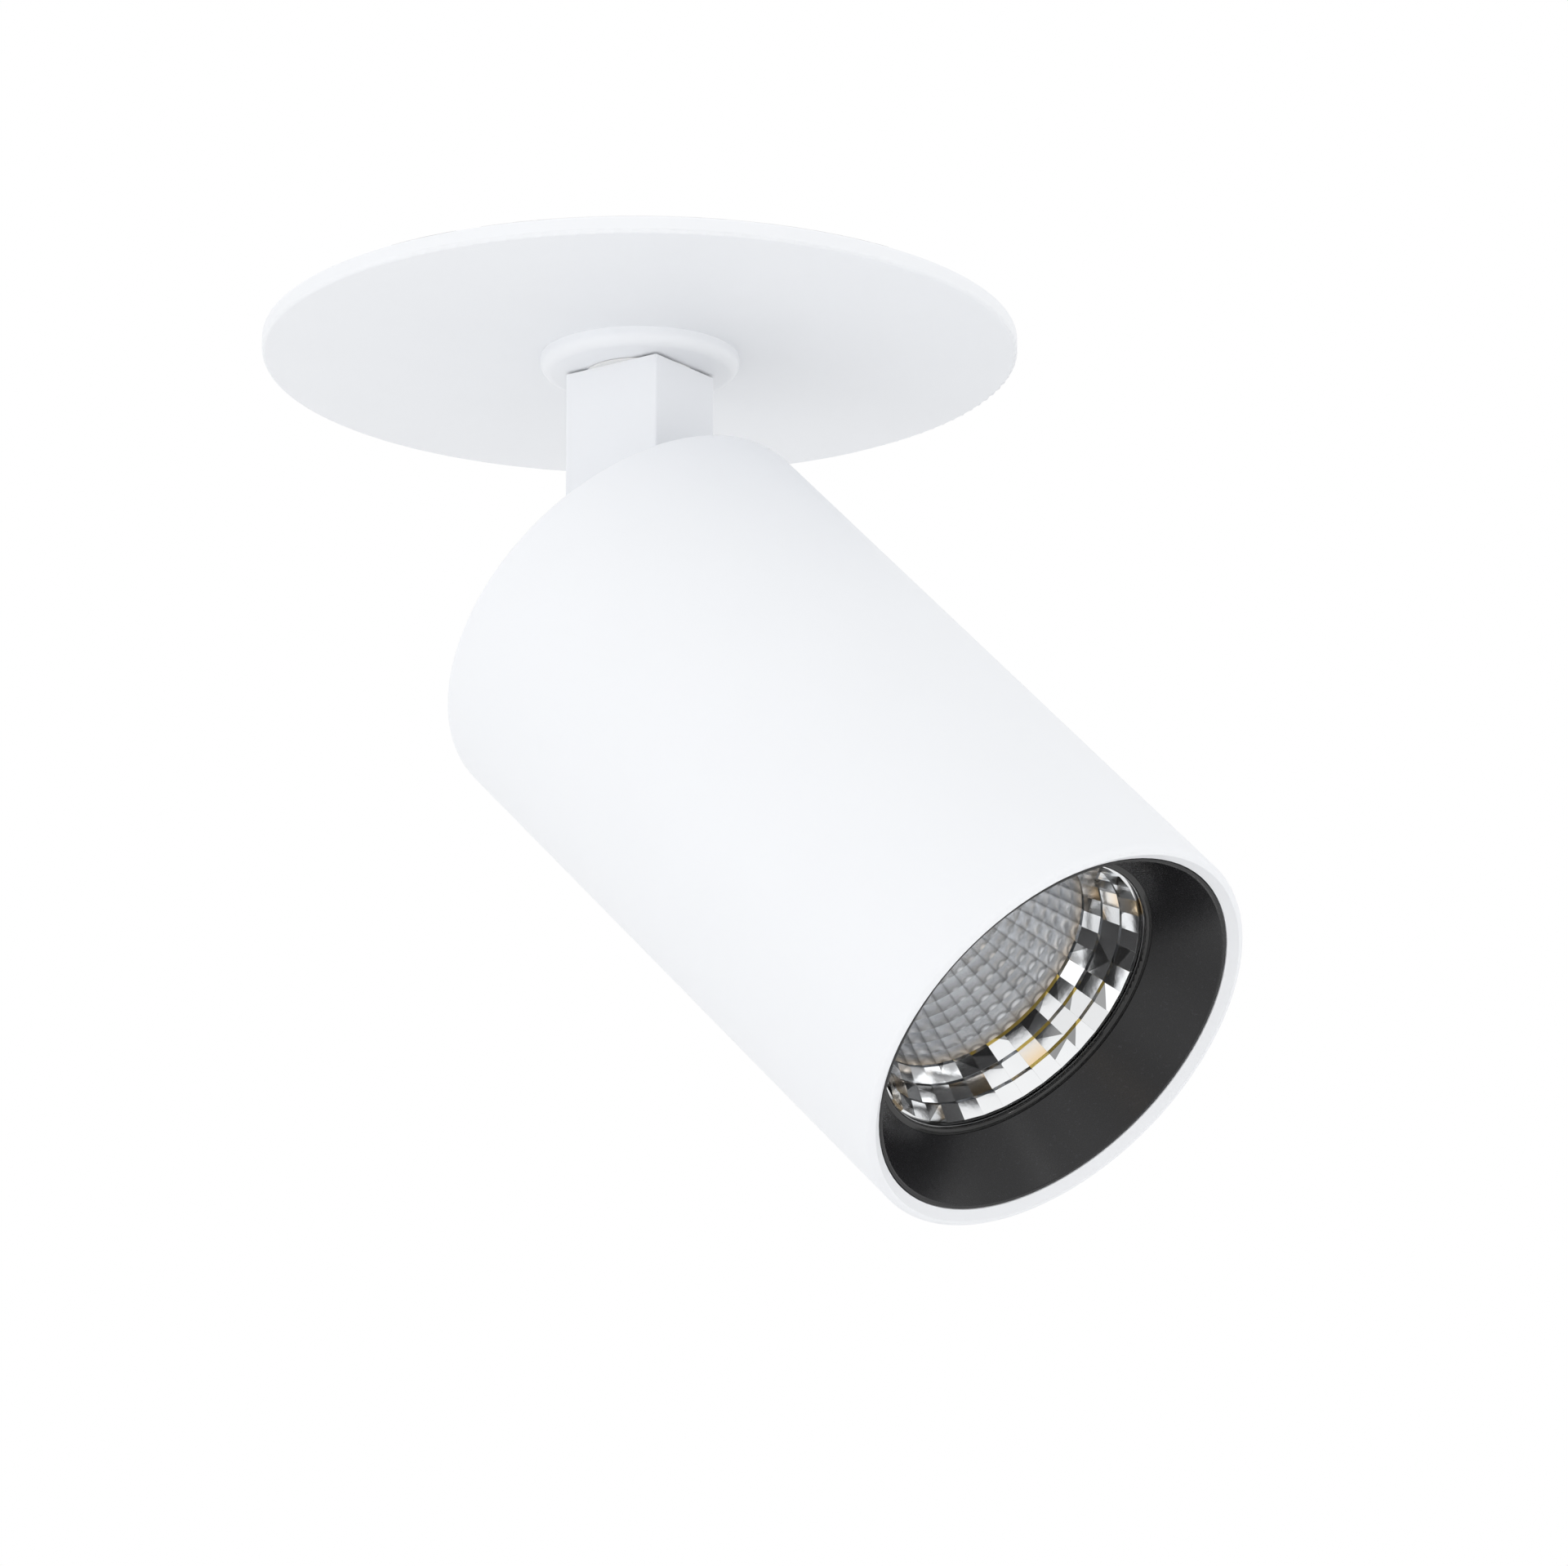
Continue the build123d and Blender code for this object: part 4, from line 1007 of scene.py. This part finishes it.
def directly_seen(graph):
    """One for rays from the camera, a reflection or a clear body, and nothing for others."""
    path = graph.add("ShaderNodeLightPath", output="Is Camera Ray")
    seen = path.math("MAXIMUM", path, path.output("Is Glossy Ray"))
    return seen.math("MAXIMUM", seen, path.output("Is Transmission Ray"))


def white_to_camera(graph, other):
    """Plain white to the camera and in reflections, and another shader to all other rays."""
    seen = directly_seen(graph)
    white = graph.add("ShaderNodeEmission", {"Color": (1, 1, 1, 1), "Strength": 1.0})
    return graph.add("ShaderNodeMixShader", {0: seen, 1: other, 2: white})


def one_sided(graph, front):
    """Ends a material that shows a shader from the front and nothing from behind."""
    behind = graph.add("ShaderNodeNewGeometry", output="Backfacing")
    clear = graph.add("ShaderNodeBsdfTransparent")
    surface = graph.add("ShaderNodeMixShader", {0: behind, 1: front, 2: clear})
    graph.add("ShaderNodeOutputMaterial", {"Surface": surface})


def stage_sheet(name, rings, height, room_side, material):
    """A flat stage disc, with a hole where its first ring is wider than nothing."""
    working = bmesh.new()
    circles = []
    for radius in rings:
        circle = []
        for turn in range(STAGE_SEGMENTS):
            angle = 2 * pi * turn / STAGE_SEGMENTS
            circle.append(working.verts.new((radius * cos(angle), radius * sin(angle), height)))
        circles.append(circle)
    for inner, outer in zip(circles, circles[1:]):
        for turn in range(STAGE_SEGMENTS):
            onward = (turn + 1) % STAGE_SEGMENTS
            corners = (inner[turn], outer[turn], outer[onward], inner[onward])
            working.faces.new(corners if room_side > 0 else corners[::-1])
    mesh = bpy.data.meshes.new(name)
    working.to_mesh(mesh)
    working.free()
    mesh.materials.append(material)
    sheet = bpy.data.objects.new(name, mesh)
    bpy.context.scene.collection.objects.link(sheet)


def aimed_lamp(name, spot, target, size, power, colour=(1, 1, 1)):
    """A round area lamp that the camera doesn't see, turned towards its target."""
    lamp = bpy.data.lights.new(name, "AREA")
    lamp.shape = "DISK"
    lamp.size = size
    lamp.energy = power
    lamp.color = colour
    holder = bpy.data.objects.new(name, lamp)
    holder.location = spot
    holder.rotation_euler = (Vector(target) - Vector(spot)).to_track_quat("-Z", "Y").to_euler()
    holder.visible_camera = False
    bpy.context.scene.collection.objects.link(holder)


class SPOTLIGHT_OT_studio(bpy.types.Operator):
    """Sets the camera, the lamps, the ceiling and the floor"""

    bl_idname = "spotlight.studio"
    bl_label = "Studio"

    def execute(self, context):
        studio = context.scene.spotlight_studio
        turn, lift = studio.azimuth, studio.elevation
        back = Vector((sin(turn) * cos(lift), -cos(turn) * cos(lift), sin(lift)))
        right = Vector((cos(turn), sin(turn), 0))
        up = back.cross(right)
        camera = bpy.data.cameras.new("camera")
        camera.lens = studio.lens
        camera.sensor_fit = "HORIZONTAL"
        camera.sensor_width = 36.0
        camera.clip_start = 0.01
        camera.clip_end = 50.0
        holder = bpy.data.objects.new("camera", camera)
        level = right * cos(studio.roll) + up * sin(studio.roll)
        upright = up * cos(studio.roll) - right * sin(studio.roll)
        holder.matrix_world = Matrix.Translation(
            back * studio.distance + right * CAMERA_RIGHT - up * CAMERA_DOWN
        ) @ Matrix((level, upright, back)).transposed().to_4x4()
        context.scene.collection.objects.link(holder)
        context.scene.camera = holder
        context.scene.view_settings.view_transform = "Standard"

        ceiling = bpy.data.materials.new("ceiling")
        graph = fresh_graph(ceiling)
        plaster = graph.add(
            "ShaderNodeEmission", {"Color": (1, 1, 1, 1), "Strength": studio.ambient}
        )
        one_sided(graph, white_to_camera(graph, plaster))
        stage_sheet("ceiling", (CEILING_HOLE, 0.2, 1.0), 0.0, -1, ceiling)

        floor = bpy.data.materials.new("floor")
        graph = fresh_graph(floor)
        one_sided(graph, graph.add("ShaderNodeBsdfDiffuse", {"Color": grey(0.92)}))
        stage_sheet("floor", (0.0, 0.4, 2.5), FLOOR_HEIGHT, 1, floor)

        world = bpy.data.worlds.new("studio")
        graph = fresh_graph(world)
        light = studio.ambient + (1 - studio.ambient) * directly_seen(graph)
        around = graph.add("ShaderNodeBackground", {"Color": (1, 1, 1, 1), "Strength": light})
        graph.add("ShaderNodeOutputWorld", {"Surface": around})
        context.scene.world = world

        target = (20 * MM, 0, -50 * MM)
        aimed_lamp("key", (-0.55, -1.15, -0.45), target, 0.9, studio.key_power)
        aimed_lamp("fill", (1.2, -0.5, -0.35), target, 0.9, studio.fill_power)
        aimed_lamp("upward", (-0.1, -0.55, -0.6), target, 0.7, studio.upward_power)
        aimed_lamp("near", (-0.12, -0.3, -0.07), (0, -20 * MM, 0), 0.12, studio.near_power)
        mouth = HEAD @ Vector((0, 0, 80 * MM))
        aimed_lamp("ring glint", (0.47, -0.07, -0.015), mouth, 0.03, studio.glint_power)
        warm = (1, 0.72, 0.42)
        aimed_lamp("warm glint", (0.4, -0.5, -0.35), mouth, 0.12, studio.glint_power, warm)
        aimed_lamp("recess", (0.3, -0.8, 0.9), (0, 0, 10 * MM), 0.8, studio.fill_power)
        return {"FINISHED"}


class SPOTLIGHT_PT_panel(bpy.types.Panel):
    """Lists the spotlight's sizes and its steps"""

    bl_label = "Spotlight"
    bl_idname = "SPOTLIGHT_PT_panel"
    bl_space_type = "VIEW_3D"
    bl_region_type = "UI"
    bl_category = "Spotlight"

    def draw(self, context):
        scene = context.scene
        for group in (scene.spotlight_reflector, scene.spotlight_studio, scene.spotlight_colours):
            box = self.layout.box()
            for name in group.__annotations__:
                box.prop(group, name)
        for step in STEPS:
            self.layout.operator(step.bl_idname)


STEPS = (
    SPOTLIGHT_OT_finishes,
    SPOTLIGHT_OT_reflector,
    SPOTLIGHT_OT_fasteners,
    SPOTLIGHT_OT_studio,
)
GROUPS = {
    "spotlight_reflector": ReflectorSizes,
    "spotlight_studio": StudioSettings,
    "spotlight_colours": FinishColours,
}


def register():
    for group in GROUPS.values():
        bpy.utils.register_class(group)
    for step in STEPS:
        bpy.utils.register_class(step)
    bpy.utils.register_class(SPOTLIGHT_PT_panel)
    for name, group in GROUPS.items():
        setattr(bpy.types.Scene, name, bpy.props.PointerProperty(type=group))


def unregister():
    for name in GROUPS:
        delattr(bpy.types.Scene, name)
    bpy.utils.unregister_class(SPOTLIGHT_PT_panel)
    for step in reversed(STEPS):
        bpy.utils.unregister_class(step)
    for group in reversed(GROUPS.values()):
        bpy.utils.unregister_class(group)


def build_spotlight():
    register()
    for step in STEPS:
        area, name = step.bl_idname.split(".")
        getattr(getattr(bpy.ops, area), name)()


if __name__ == "__main__":
    build_spotlight()
